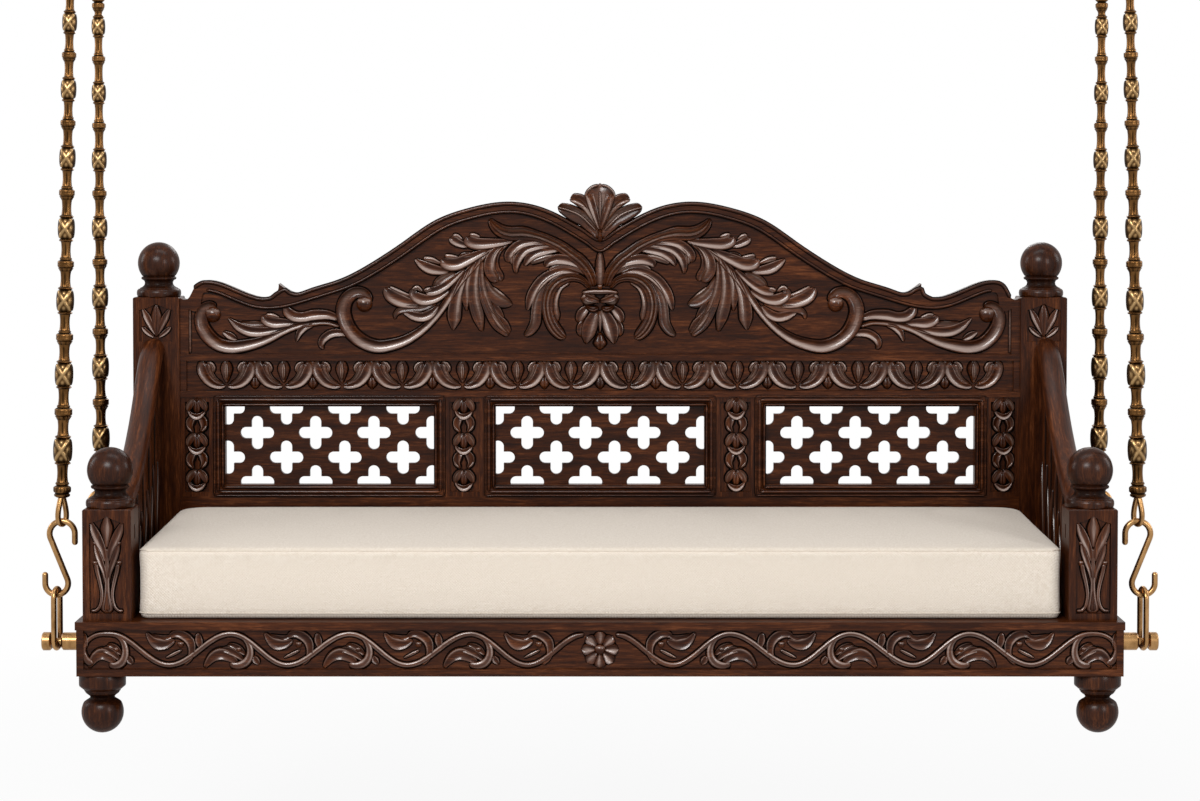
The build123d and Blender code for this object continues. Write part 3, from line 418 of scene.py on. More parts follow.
def stroke_rings(stroke, spacing, broad):
    """Rings round one stroke in across, up and out, its two end points, and its marks."""
    line, places = eased(stroke["rows"], spacing)
    middle, width = line[:, :2], np.maximum(line[:, 2] * broad, 0.6)
    reach = np.minimum(places, places[-1] - places)
    end_radius = np.where(places < places[-1] / 2, width[0], width[-1]) * 0.5
    near = np.clip(reach / end_radius, 0.0, 1.0)
    rounding = np.sqrt(np.clip(1 - (1 - near) ** 2, 0.03, 1))
    heading = np.gradient(middle, axis=0)
    heading /= np.linalg.norm(heading, axis=1)[:, None]
    side = np.stack([-heading[:, 1], heading[:, 0]], axis=1)
    section = np.array(sections[stroke["kind"]])
    if stroke["flip"]:
        section = section[::-1] * (-1, 1, 1)
    across, share, shine = section.T
    half = width * rounding / 2
    swell = np.sqrt(width / width.max()) * rounding ** 0.6
    offset = half[:, None] * across[None, :]
    height = (stroke["lift"] + stroke["rise"] * share)[None, :] * swell[:, None]
    skirt, base = stroke["skirt"], stroke["base"]
    reach_out = (half + skirt)[:, None]
    middle_out = (half + 0.6 * skirt)[:, None]
    flat = np.ones((len(line), 1))
    offset = np.hstack([-reach_out, -middle_out, offset, middle_out, reach_out])
    height = np.hstack([-base * flat, 0.25 * flat, height + 0.25, 0.25 * flat, -base * flat])
    plane = middle[:, None, :] + side[:, None, :] * offset[:, :, None]
    rings = np.concatenate([plane, height[:, :, None]], axis=2)
    slope = np.gradient(height, axis=1) / np.maximum(np.abs(np.gradient(offset, axis=1)), 0.05)
    # How squarely each slope faces the light of the painted highlight.
    upward = -slope / np.sqrt(1 + slope ** 2) * (side @ highlight_light_way)[:, None]
    wall = np.clip((np.abs(across) - 0.86) / 0.12, 0, 1)
    stands_free = base > 5
    foot = [0.0, 0.3] if stands_free else [1.0, 1.0]
    # Painted shade: dark on the walls and the skirt, and on slopes turned away from that light.
    recess = np.maximum(np.hstack([foot, wall, foot[::-1]]), np.clip(-1.1 * upward, 0, 0.6))
    # Painted highlight: brightest on slopes facing that light, a little wherever the section shines (as
    # wear), and more towards the middle of the stroke.
    gleam = np.exp(-((upward - highlight_slope) / highlight_spread) ** 2)
    shine = np.hstack([[0, 0], shine, [0, 0]])
    along = 0.6 + 0.4 * np.sin(np.pi * places / places[-1])[:, None]
    ridge = (shine * gleam + 0.6 * shine ** 3 * (1 - gleam)) * along
    step = end_radius[[0, -1]] * 0.08 + skirt * 0.7
    tips = middle[[0, -1]] + heading[[0, -1]] * np.array([[-step[0]], [step[1]]])
    poles = np.hstack([tips, [[-base], [-base]]])
    return rings, poles, recess, ridge


def dome_rings(dome):
    """Half ball: rings whose radius is the cosine and height the sine of the way up."""
    x, z, radius, rise, lift = dome
    way = np.radians(np.linspace(0, 82, 8))[:, None]
    turn = np.linspace(0, 2 * np.pi, 20, endpoint=False)[None, :]
    out = radius * np.cos(way)
    rings = np.stack([x + out * np.cos(turn), z + out * np.sin(turn),
                      (lift + rise * np.sin(way)) + 0 * turn], axis=2)
    foot = rings[:1].copy()
    foot[..., 2] = -0.8
    rings = np.concatenate([foot, rings])
    poles = np.array([[x, z, -0.8], [x, z, lift + rise]])
    # Painted shade round the foot of the ball.
    recess = np.zeros(rings.shape[:2])
    recess[:2] = 0.9
    recess[2] = 0.3
    # Painted highlight on the side of the ball that faces up.
    upward = np.vstack([0 * turn, np.cos(way) * np.sin(turn)])
    ridge = 0.65 * np.exp(-((upward - 0.45) / 0.30) ** 2)
    ridge[:2] = 0.0
    return rings, poles, recess, ridge


def carve(work, place, spacing=3.2, broad=1.0):
    """Closed shells of the strokes (dicts) and half balls (tuples), set on their board."""
    shells = []
    for item in work:
        made = stroke_rings(item, spacing, broad) if isinstance(item, dict) else dome_rings(item)
        rings, poles, recess, ridge = made
        shells.append(closed_shell(place(rings), place(poles), recess, ridge))
    return shells


def add_carving(name, shells, finish=wood_carved, replaced=()):
    """A carved piece of the bench."""
    return add_piece(name, shells, "bench", finish, replaced=replaced)


def on_front(field, level, mirror=1.0, start=0.0):
    """Sets strokes on a board that faces the front: across, up, and out of the board."""
    return lambda p: np.stack([start + mirror * p[..., 0], field - p[..., 2], level + p[..., 1]], -1)


def on_end(field, side, level=0.0, start=0.0):
    """Sets strokes on a board that faces left or right: forwards, up, and out of the board."""
    return lambda p: np.stack([field + side * p[..., 2], start - p[..., 0], level + p[..., 1]], -1)


def raised(work, level):
    """The same strokes higher up the board."""
    return [{**item, "rows": [(x, z + level, w) for x, z, w in item["rows"]]} for item in work]


def mirrored(work):
    """The same strokes with their other hand beside them, across the line at 0."""
    other = []
    for item in work:
        if isinstance(item, dict):
            other.append({**item, "rows": [(-x, z, w) for x, z, w in item["rows"]],
                          "flip": not item["flip"]})
        else:
            other.append((-item[0], *item[1:]))
    return work + other


def moved(work, step, stretch=1.0):
    """The same strokes further along the board, widened or narrowed along it."""
    other = []
    for item in work:
        if isinstance(item, dict):
            other.append({**item, "rows": [(step + x * stretch, z, w) for x, z, w in item["rows"]]})
        else:
            other.append((step + item[0] * stretch, *item[1:]))
    return other


# ---------------------------------------------------------------- crest carving
# Half of the crest: distance from the middle, height above the crest's base strip, width.
crest_stems = [
    cut("stem", 9.5, [(200, 206, 7), (226, 182, 10), (249, 158, 12), (270, 134, 13), (287, 108, 13),
                      (304, 83, 13), (324, 60, 14), (345, 42, 16), (370, 27, 19), (398, 18, 22),
                      (424, 15, 24), (448, 22, 25), (469, 37, 26), (483, 58, 27), (489, 82, 27),
                      (483, 104, 25), (468, 117, 22), (452, 117, 20), (443, 108, 18),
                      (444, 98, 15)]),
    (449, 96, 15.5, 11.5, 1.0),
    cut("stem", 9.5, [(497, 54, 7), (520, 60, 8), (548, 59, 10), (575, 54, 12), (600, 45, 13),
                      (625, 33, 16), (650, 23, 19), (680, 16, 23), (705, 14, 24), (728, 20, 25),
                      (746, 35, 26), (757, 53, 25), (760, 71, 23), (754, 86, 21), (742, 92, 18),
                      (732, 86, 15)]),
    (738, 76, 15.5, 11.5, 1.0),
]
crest_top_leaf = [
    cut("ribs", 10.5, [(11, 130, 12), (19, 154, 17), (36, 176, 20), (55, 191, 19), (76, 206, 18),
                       (98, 217, 17), (120, 225, 17), (145, 230, 22), (170, 230, 22), (188, 235, 20),
                       (202, 246, 15), (210, 258, 6)], lift=1.0, flip=True),
    cut("leaf", 8, [(100, 213, 7), (125, 215, 12), (148, 211, 15), (164, 201, 16), (174, 188, 14),
                    (174, 175, 7)]),
    cut("rope", 5, [(150, 205, 4), (163, 195, 7), (167, 181, 7), (167, 171, 5)], lift=2.0),
    cut("leaf", 8, [(92, 208, 7), (118, 206, 12), (140, 199, 14), (154, 185, 14), (160, 169, 11),
                    (160, 154, 4)]),
    cut("leaf", 8, [(75, 200, 6), (100, 198, 13), (120, 193, 15), (135, 183, 14), (144, 169, 5)]),
    cut("rope", 5, [(85, 188, 5), (105, 184, 10), (122, 178, 9), (133, 173, 5)], lift=1.0),
    cut("leaf", 9, [(28, 160, 7), (44, 172, 12), (62, 179, 16), (82, 181, 18), (98, 175, 14),
                    (104, 167, 8)]),
    cut("rope", 5, [(26, 152, 5), (46, 163, 8), (66, 168, 10), (84, 167, 9), (97, 160, 5)]),
]
crest_fountain = [
    cut("leaf", 8.5, [(40, 153, 6), (66, 160, 11), (90, 154, 15), (110, 141, 17), (126, 121, 16),
                      (134, 102, 13), (138, 84, 4)]),
    cut("leaf", 8.5, [(62, 154, 5), (88, 146, 10), (106, 128, 14), (117, 104, 16), (121, 80, 17),
                      (123, 60, 17), (132, 45, 14), (144, 35, 6)], flip=True),
    cut("ribs", 9.5, [(19, 127, 7), (34, 142, 11), (56, 147, 14), (78, 140, 18), (94, 123, 19),
                      (100, 98, 19), (97, 72, 19), (88, 52, 20), (76, 38, 17), (66, 31, 8)],
        lift=0.5, flip=True),
    cut("leaf", 6, [(58, 137, 4), (76, 126, 8), (85, 108, 11), (87, 90, 13), (84, 74, 13),
                    (81, 62, 4)]),
]
crest_side_leaf = [
    cut("leaf", 7, [(250, 206, 6), (264, 210, 12), (277, 216, 14), (286, 222, 11)]),
    cut("rope", 4, [(262, 218, 4), (272, 225, 8), (281, 225, 8)], lift=2.5),
    cut("leaf", 8, [(166, 216, 6), (190, 213, 13), (215, 211, 18), (235, 211, 20), (249, 216, 19),
                    (254, 224, 10)]),
    cut("rope", 4.5, [(228, 223, 5), (240, 226, 9), (249, 227, 8)], lift=2.5),
    cut("leaf", 8.5, [(206, 201, 5), (230, 191, 13), (252, 181, 19), (274, 172, 22), (292, 173, 21),
                      (302, 181, 12)]),
    cut("rope", 4.5, [(270, 184, 5), (283, 186, 8), (296, 187, 9)], lift=3.0),
    cut("leaf", 6, [(236, 191, 4), (252, 190, 8), (262, 188, 8), (270, 181, 4)]),
    cut("leaf", 8, [(288, 158, 7), (308, 160, 15), (325, 164, 18), (340, 172, 14), (353, 182, 3)]),
    cut("rope", 4.5, [(303, 173, 4), (320, 180, 9), (337, 183, 7)], lift=2.0),
    cut("leaf", 7, [(276, 155, 6), (292, 147, 13), (306, 138, 15), (318, 126, 6)], flip=True),
    cut("leaf", 8, [(258, 162, 5), (280, 142, 11), (297, 129, 14), (314, 121, 16), (332, 118, 12)]),
    cut("rope", 4, [(318, 126, 4), (328, 123, 8), (336, 121, 5)], lift=2.5),
    cut("leaf", 8, [(286, 122, 6), (306, 110, 13), (324, 104, 17), (341, 105, 20), (355, 114, 16),
                    (353, 126, 8)]),
    cut("rope", 4, [(338, 119, 4), (348, 127, 8), (357, 122, 7)], lift=2.5),
    cut("leaf", 8.5, [(340, 94, 7), (362, 97, 17), (382, 103, 22), (398, 112, 21), (410, 126, 11)]),
    cut("rope", 5, [(360, 111, 4), (378, 116, 9), (392, 123, 8), (401, 129, 5)], lift=2.0),
    cut("leaf", 6.5, [(312, 98, 6), (338, 88, 10), (362, 87, 12), (380, 84, 11), (389, 77, 8),
                      (391, 67, 3)], flip=True),
    cut("leaf", 8, [(308, 92, 6), (322, 78, 15), (338, 71, 16), (356, 74, 15), (375, 82, 6)]),
    cut("leaf", 8.5, [(248, 167, 5), (262, 140, 12), (272, 113, 17), (277, 85, 22), (278, 66, 20),
                      (280, 46, 3)]),
    cut("leaf", 6.5, [(240, 178, 4), (250, 156, 10), (256, 132, 12), (256, 108, 13), (254, 83, 3)]),
    cut("leaf", 9, [(227, 189, 5), (237, 160, 12), (241, 130, 17), (239, 100, 19), (232, 72, 19),
                    (225, 44, 5)]),
    cut("leaf", 8.5, [(224, 178, 5), (227, 148, 11), (222, 115, 15), (210, 82, 17), (195, 56, 17),
                      (175, 35, 7)]),
    cut("leaf", 7.5, [(219, 122, 4), (208, 98, 12), (196, 82, 15), (184, 67, 5)], flip=True),
    cut("leaf", 7.5, [(212, 92, 4), (198, 72, 13), (184, 56, 17), (172, 41, 8)], flip=True),
    cut("leaf", 8.5, [(221, 149, 5), (212, 124, 16), (198, 108, 21), (182, 99, 19), (167, 95, 5)]),
    cut("rope", 5, [(205, 128, 4), (190, 115, 7), (172, 101, 4)], lift=2.5),
    cut("leaf", 8.5, [(184, 208, 5), (198, 198, 11), (208, 182, 17), (210, 162, 19), (203, 148, 18),
                      (194, 139, 11)]),
    cut("leaf", 6.5, [(176, 209, 4), (190, 199, 7), (199, 182, 10), (198, 164, 11), (191, 150, 12),
                      (187, 140, 6)], flip=True),
]
crest_tail = [
    cut("leaf", 9, [(497, 68, 9), (518, 75, 15), (545, 75, 18), (566, 71, 17), (584, 73, 18),
                    (595, 82, 16), (600, 93, 7)]),
    cut("leaf", 7.5, [(578, 58, 6), (600, 60, 14), (620, 60, 19), (636, 65, 17), (644, 74, 8)]),
    cut("rope", 4.5, [(610, 69, 4), (625, 74, 8), (637, 75, 6)], lift=2.5),
    cut("leaf", 8, [(596, 50, 5), (622, 46, 12), (648, 43, 17), (670, 45, 18), (690, 54, 14),
                    (708, 69, 3)]),
    cut("leaf", 6, [(632, 54, 4), (650, 58, 9), (668, 58, 9), (685, 61, 3)], flip=True),
    cut("leaf", 5.5, [(692, 28, 6), (705, 35, 12), (719, 43, 5)]),
    cut("leaf", 7, [(546, 56, 6), (560, 52, 10), (572, 42, 11), (579, 24, 3)]),
    cut("leaf", 7.5, [(472, 36, 6), (495, 41, 12), (513, 39, 14), (527, 29, 13), (531, 17, 9),
                      (526, 10, 4)]),
    cut("rope", 6, [(791.5, 2, 10), (791.5, 48, 10), (791.5, 92, 10)]),
    cut("rope", 4, [(781, 2, 4), (781, 48, 4), (781, 96, 4)], skirt=1.0),
]
crest_heart = [
    cut("scoop", 7, [(0, 128, 10), (0, 150, 18), (0, 176, 17), (0, 203, 3)]),
    cut("bud", 8, [(0, 42, 4), (0, 32, 17), (0, 20, 26), (0, 8, 4)], lift=2.0),
    cut("rope", 5, [(0, 84, 3), (0, 66, 7), (0, 42, 3)], lift=9.0),
    cut("rope", 9, [(-34, 117, 8), (-16, 119, 10), (0, 119, 10), (16, 119, 10), (34, 117, 8)],
        lift=7.0),
    (0, 129, 4.6, 4.0, 8.0),
]
crest_heart_side = [
    cut("leaf", 6, [(9, 130, 7), (16, 150, 14), (23, 168, 16), (29, 182, 4)]),
    cut("leaf", 9, [(20, 92, 10), (33, 80, 20), (39, 69, 17), (41, 60, 5)], lift=0.5),
    cut("leaf", 9, [(26, 66, 8), (35, 55, 16), (38, 43, 13), (35, 34, 4)], lift=0.5),
    cut("leaf", 10, [(4, 86, 12), (13, 70, 24), (20, 52, 31), (24, 36, 25), (27, 20, 4)], lift=2.0),
    cut("bud", 8, [(3, 90, 7), (11, 86, 13), (20, 88, 11), (28, 94, 4)], lift=9.0),
    cut("curl", 9, [(0, 101, 6), (9, 104, 11), (22, 108, 16), (31, 112, 12)], lift=11.0),
    cut("rope", 12, [(6, 104, 17), (16, 105, 24), (27, 106, 28), (36, 106, 22)], lift=3.0),
]

half_crest = crest_top_leaf + crest_fountain + crest_side_leaf + crest_tail
for side_name, side in both_hands:
    half_board = on_front(crest_field, crest_base, side)
    add_carving(f"crest_carving_{side_name}", carve(crest_stems, half_board, broad=1.1)
                + carve(half_crest, half_board, broad=1.25))
add_carving("crest_heart_carving", carve(crest_heart + mirrored(crest_heart_side),
                                         on_front(crest_field, crest_base), 2.6),
            replaced=("crest_boss",))

# Palmette on the peak: half of its leaves, each stacked on the one outside it and a little
# thicker at the back, so that their backs don't share a plane.
palmette_side = [
    cut("leaf", 9, [(3, 222, 8), (17, 244, 25), (30, 257, 28), (44, 265, 30), (57, 272, 28),
                    (70, 278, 22), (80, 281, 14)], base=9.6, skirt=0.3, flip=True),
    cut("rope", 3, [(8, 236, 3), (19, 247, 4), (31, 259, 4), (44, 268, 4), (62, 275, 4),
                    (80, 280, 3)], lift=8.0, skirt=1.0),
    cut("leaf", 9, [(2, 240, 6), (12, 262, 17), (25, 284, 24), (37, 293, 25), (47, 297, 21),
                    (56, 298, 15)], base=10.4, skirt=0.3, lift=4.0),
    cut("scoop", 3, [(24, 276, 4), (34, 286, 8), (46, 292, 10), (57, 295, 5)], lift=11.5, skirt=1.0),
    cut("leaf", 9, [(1, 238, 5), (8, 262, 13), (15, 284, 17), (21, 301, 15), (24, 309, 8)],
        base=11.2, skirt=0.3, lift=8.5),
    cut("rope", 3.5, [(3, 322, 5), (14, 319, 5), (24, 310, 5), (28, 298, 4)], lift=12.0, skirt=1.0),
    cut("rope", 3, [(3, 256, 3), (9, 284, 5), (14, 308, 3)], lift=12.0, skirt=1.0),
]
palmette_middle = [
    cut("scoop", 8, [(0, 238, 6), (0, 262, 28), (0, 284, 49), (0, 304, 57), (0, 324, 57)],
        base=12, skirt=0.3, lift=6.0),
    cut("rope", 4, [(0, 254, 3), (0, 286, 6), (0, 312, 4)], lift=12.0, skirt=1.0),
    cut("bud", 8, [(0, 214, 9), (0, 226, 8), (0, 240, 4)], base=11.6, skirt=0.3, lift=6.0),
]
add_carving("crest_palmette", carve(palmette_middle + mirrored(palmette_side),
                                    on_front(palmette_field, crest_base), 2.6),
            replaced=("crest_fleuron",))


def edge_line(node_name, facing, step):
    """Points along the front edge of a packed board whose wall faces up (1) or down (-1), in
    millimetres, thinned to one for each step along the board."""
    mesh = nodes[node_name].data
    faces = [face for face in mesh.polygons
             if abs(face.normal.y) < 0.1 and face.normal.z * facing > 0.05]
    spots = {tuple(mesh.vertices[index].co) for face in faces for index in face.vertices}
    front = min(spot[1] for spot in spots)
    line = np.array(sorted(spot for spot in spots if spot[1] < front + 1e-4)) * 1000
    line = line[line[:, 2] > line[:, 2].min() + 12]
    shelf = np.round(line[:, 0] / step)
    return line[np.concatenate([[True], np.diff(shelf) > 0])], front * 1000


# Beads along both edges of the crest's moulding.
crest_beads = []
for facing, inset, width, rise, reach in ((-1.0, 3.6, 5.0, 3.0, 752.0),
                                          (1.0, -3.4, 6.0, 2.0, 782.0)):
    edge, band_face = edge_line("crest_moulding", facing, 9.0)
    crest_beads.append(cut("bead", rise, [(x, z + inset, width) for x, y, z in edge
                                          if abs(x) < reach], skirt=1.6))
add_carving("crest_beads", carve(crest_beads, on_front(band_face, 0.0), 5.0), wood_along)


# ---------------------------------------------------------------- frieze
frieze_leaf = [
    cut("leaf", 8, [(2, -60, 7), (14, -61, 10), (28, -55, 15), (38, -44, 18), (44, -31, 19),
                    (45, -20, 15), (40, -13, 7)]),
    cut("leaf", 6, [(7, -57, 5), (21, -49, 9), (30, -38, 13), (34, -26, 14), (32, -17, 8)],
        flip=True),
    cut("rope", 4.5, [(37, -15, 4), (28, -18, 7), (23, -27, 7), (25, -36, 3)], lift=1.0),
]
frieze_bud = [
    cut("scoop", 6.5, [(0, -55, 3), (0, -44, 12), (0, -29, 21), (0, -18, 16), (0, -10, 3)]),
    cut("rope", 6, [(0, -50, 3), (0, -32, 8), (0, -15, 4)], lift=2.0),
]
frieze_drop = [
    cut("bud", 6.5, [(0, -40, 4), (0, -50, 13), (0, -57, 17), (0, -67, 3)]),
    cut("rope", 5, [(0, -11, 9), (0, -20, 7), (0, -30, 3)], lift=1.0),
]
bud_places = (55.0, 157.0, 262.0, 377.0, 492.0, 603.0, 712.0)
drop_places = (0.0, 106.0, 209.5, 319.5, 434.5, 547.5, 657.5, 766.0)
leaf_reach = 52.0
for side_name, side in both_hands:
    work = []
    for bud, drop, next_drop in zip(bud_places, drop_places, drop_places[1:]):
        inner, outer = (bud - drop) / leaf_reach, (next_drop - bud) / leaf_reach
        work += moved(mirrored(frieze_leaf)[3:], bud, inner) + moved(frieze_leaf, bud, outer)
        work += moved(frieze_bud, bud)
    for drop in drop_places[1:-1]:
        work += moved(frieze_drop, drop)
    if side > 0:
        work += frieze_drop
    add_carving(f"frieze_carving_{side_name}",
                carve(work, on_front(crest_field, crest_base, side), 3.4, broad=1.14))


# ---------------------------------------------------------------- husk drops on the stiles
broad_husk = mirrored([
    cut("leaf", 5.5, [(2, 18, 7), (9, 11, 15), (15, 2, 14), (17, -7, 5)], flip=True),
]) + [
    cut("bud", 5, [(0, 15, 5), (0, 5, 13), (0, -4, 14), (0, -11, 5)], lift=1.0),
    cut("leaf", 6, [(-16, -7, 4), (-8, -14, 11), (1, -17, 13), (10, -13, 9), (17, -5, 4)], lift=2.0),
]
heart_husk = mirrored([
    cut("curl", 5.5, [(3, 17, 8), (11, 9, 17), (13, -3, 13), (7, -14, 4)], flip=True),
    cut("rope", 4, [(18, 0, 3), (16, -6, 5), (10, -12, 4)], lift=2.5),
])
husk_levels = (520.0, 487.0, 453.0, 418.0, 383.0)
for side_name, side in both_hands:
    for row_name, across in stile_middles.items():
        work = [cut("bud", 6, [(0, 530, 3), (0, 536, 9), (0, 541, 3)])]
        for index, level in enumerate(husk_levels):
            work += raised(heart_husk if index % 2 else broad_husk, level)
        add_carving(f"husk_drop_{row_name}_{side_name}",
                    carve(work, on_front(stile_field, 0.0, side, side * across), 3.0),
                    wood_carved_upright)


# ---------------------------------------------------------------- beads round the lattices
for panel_name, across in lattice_middles.items():
    work = []
    for outset, width, rise in ((4.0, 4.0, 1.6), (13.0, 6.0, 2.6), (20.0, 2.6, 1.4)):
        wide, tall = lattice_wide / 2 + outset, lattice_tall / 2 + outset
        for end in (-1.0, 1.0):
            work.append(cut("bead", rise, [(-wide, end * tall, width), (0, end * tall, width),
                                           (wide, end * tall, width)], skirt=1.2))
            work.append(cut("bead", rise, [(end * wide, -tall, width), (end * wide, 0, width),
                                           (end * wide, tall, width)], skirt=1.2))
    add_carving(f"lattice_beads_{panel_name}",
                carve(work, on_front(lattice_field, lattice_level, 1.0, across), 9.0), wood_along)


# ---------------------------------------------------------------- vine on the rails
vine_crest = [
    cut("rope", 6.5, [(7, 177, 6), (23, 170, 7), (32, 156, 8), (33, 140, 10), (25, 127, 11),
                      (11, 122, 10), (-2, 125, 7)]),
    cut("curl", 6.5, [(11, 127, 6), (-2, 138, 13), (-16, 143, 16), (-30, 138, 13), (-40, 127, 8),
                      (-45, 118, 3)], flip=True),
    cut("curl", 6, [(22, 132, 4), (8, 143, 9), (-6, 149, 10), (-17, 149, 4)], lift=1.0),
    cut("curl", 5.5, [(25, 141, 4), (14, 151, 9), (2, 157, 7), (-6, 157, 3)]),
    (14.0, 150.0, 5.5, 6.0, 1.0),
    cut("curl", 5, [(39, 139, 4), (44, 131, 9), (49, 124, 3)]),
    cut("curl", 5.5, [(-52, 152, 4), (-55, 166, 10), (-56, 179, 4)]),
]
vine_trough = [
    cut("curl", 7, [(25, 125, 6), (36, 136, 7), (39, 150, 9), (36, 164, 12), (25, 174, 12),
                    (12, 177, 10), (1, 172, 6)]),
    cut("curl", 6.5, [(10, 166, 5), (-4, 160, 12), (-17, 160, 16), (-28, 166, 11), (-39, 179, 3)],
        flip=True),
    cut("curl", 5, [(6, 173, 4), (-7, 169, 8), (-20, 171, 7), (-31, 175, 3)]),
    cut("rope", 3, [(22, 149, 3), (8, 142, 4), (-6, 135, 2)]),
    (20.0, 159.0, 6.0, 6.0, 0.5),
]


vine_high, vine_low, rail_middle = 177.0, 123.0, 150.0


def vine_line(crests, troughs, start, end):
    """The running stem. Between a crest and the next trough its height goes with the cosine."""
    rows = []
    turns = sorted([(x, vine_high) for x in crests] + [(x, vine_low) for x in troughs])
    for (x, z), (next_x, next_z) in zip(turns, turns[1:] + [end]):
        for share in (0.0, 0.17, 0.34, 0.5, 0.66, 0.83):
            way = (1 - math.cos(math.pi * share)) / 2
            rows.append((x + share * (next_x - x), z + way * (next_z - z), 10.0))
    return start + rows + [(*end, 7)]


front_crests = (-843.0, -635.0, -430.0, -223.0)
front_troughs = (-741.0, -538.0, -332.0, -125.0)
end_curl = [(-872, 124, 15), (-884, 134, 13), (-888, 150, 9), (-881, 165, 8), (-865, 175, 8)]
rail_stem = [cut("rope", 6.8, vine_line(front_crests, front_troughs, end_curl, (-27.0, 176.0)))]
rail_leaves = moved(vine_crest, front_crests[0], 0.8)
for x in front_crests[1:]:
    rail_leaves += moved(vine_crest, x)
for x in front_troughs:
    rail_leaves += moved(vine_trough, x)
side_curl = [(-170, 128, 12), (-180, 140, 10), (-181, 155, 8), (-172, 169, 8)]
side_stem = [cut("rope", 6.0, vine_line((-142.0, 60.0), (-40.0, 150.0), side_curl,
                                        (180.0, 150.0)))]
side_leaves = moved(vine_crest, -142.0, 0.8) + moved(vine_crest, 60.0)
side_leaves += moved(vine_trough, -40.0) + moved(vine_trough, 140.0, 0.9)
for side_name, side in both_hands:
    front, outer = on_front(front_rail_field, 0.0, -side), on_end(side * side_rail_field, side)
    add_carving(f"rail_vine_{side_name}",
                carve(rail_stem, front, 3.2) + carve(rail_leaves, front, 3.2, broad=1.45))
    add_carving(f"side_vine_{side_name}",
                carve(side_stem, outer, 3.2) + carve(side_leaves, outer, 3.2, broad=1.35))

petal_count = 8
petals = []
for index in range(petal_count):
    turn = 2 * math.pi * index / petal_count
    petals.append(cut("scoop", 6.5, [(-out * math.sin(turn), rail_middle + out * math.cos(turn), width)
                                     for out, width in ((8, 6), (16, 14), (25, 21), (32, 12))]))
petals.append((0.0, rail_middle, 9.5, 8.0, 1.0))
add_carving("rail_rosette", carve(petals, on_front(front_rail_field, 0.0), 2.4))


# ---------------------------------------------------------------- posts
front_leaf_side = [
    cut("leaf", 5.2, [(3, 300, 5), (7, 320, 12), (15, 338, 17), (22, 354, 14), (27, 368, 4)]),
    cut("leaf", 4.8, [(2, 262, 4), (5, 282, 8), (11, 300, 11), (17, 317, 10), (20, 331, 6)],
        lift=0.8),
    cut("rope", 4.8, [(28, 214, 6), (19, 215, 6), (12, 224, 6), (9, 242, 6), (12, 262, 7),
                      (17, 283, 8), (19, 296, 8)], lift=0.6),
    (20.5, 297.0, 5.0, 4.6, 1.4),
    (20.5, 331.0, 3.8, 4.2, 1.4),
    (26.0, 367.0, 3.0, 3.4, 1.2),
]
front_leaf = mirrored(front_leaf_side) + [
    cut("scoop", 5.4, [(0, 324, 4), (0, 343, 15), (0, 357, 23), (0, 369, 15), (0, 382, 3)]),
    cut("rope", 4.6, [(0, 322, 5), (0, 292, 8), (0, 264, 9), (0, 242, 12), (0, 224, 21),
                      (0, 210, 31)], lift=1.2),
    cut("bud", 3.5, [(0, 250, 3), (0, 232, 7), (0, 214, 13)], lift=4.4),
]
# Thin beads round the post's carving, whose skirts paint dark lines of shade round it.
post_frame = mirrored([cut("bead", 0.8, [(x, z, 2) for x, z in line], skirt=2.4, base=0.3)
                       for line in (((0, 205), (16, 205), (32, 205)),
                                    ((32, 205), (32, 290), (32, 373)),
                                    ((32, 373), (16, 380), (0, 386)))])
back_leaf = mirrored([
    cut("leaf", 4.6, [(2, 660, 4), (9, 675, 11), (17, 692, 14), (23, 704, 8), (27, 711, 3)]),
    cut("leaf", 4.4, [(4, 655, 4), (14, 662, 9), (22, 669, 9), (28, 675, 3)]),
]) + [cut("bud", 5, [(0, 656, 4), (0, 675, 15), (0, 694, 21), (0, 709, 13), (0, 719, 3)])]
for side_name, side in both_hands:
    front = on_front(front_post["front_field"], 0.0, 1.0, side * front_post["middle"])
    outer = on_end(side * front_post["end_field"], side, 0.0, front_post["depth"])
    back = on_front(back_post["front_field"], 0.0, 1.0, side * back_post["middle"])
    add_carving(f"front_post_carving_{side_name}",
                carve(front_leaf + post_frame, front, 2.6) + carve(front_leaf + post_frame, outer, 2.6),
                wood_carved_upright)
    add_carving(f"back_post_carving_{side_name}", carve(back_leaf, back, 2.6), wood_carved_upright)


# ---------------------------------------------------------------- leaf stalks on the side panels
def panel_stalks(top_of):
    """A row of tall leaves under the sweep of the arm, each with a lower leaf at either hand."""
    work = []
    for x in np.linspace(-192.0, 176.0, 6):
        root, tip = stalk_root, top_of(-x) - 12.0
        tall = tip - root
        work.append(cut("bud", 4.4, [(x, root, 9), (x - 2, root + 0.45 * tall, 12),
                                     (x - 2, root + 0.75 * tall, 22), (x, tip, 3)], skirt=2.0))
        for hand in (-1.0, 1.0):
            work.append(cut("curl", 4.0, [
                (x + 3 * hand, root + 0.08 * tall, 7), (x + 14 * hand, root + 0.30 * tall, 13),
                (x + 24 * hand, root + 0.46 * tall, 15), (x + 29 * hand, root + 0.58 * tall, 4)],
                flip=hand > 0, skirt=2.0))
    return work


for side_name, side in both_hands:
    panel = np.array([vertex.co for vertex in nodes[f"side_panel_{side_name}"].data.vertices]) * 1000
    field = panel[(np.abs(np.abs(panel[:, 0]) - panel_groove) < 0.5) & (panel[:, 2] > stalk_root + 10)]
    field = field[np.argsort(field[:, 1])]
    stalks = panel_stalks(lambda y: float(np.interp(y, field[:, 1], field[:, 2])))
    add_carving(f"panel_stalks_{side_name}",
                carve(stalks, on_end(side * panel_inner_face, -side), 3.4)
                + carve(stalks, on_end(side * panel_outer_face, side), 3.4), wood_carved_upright)


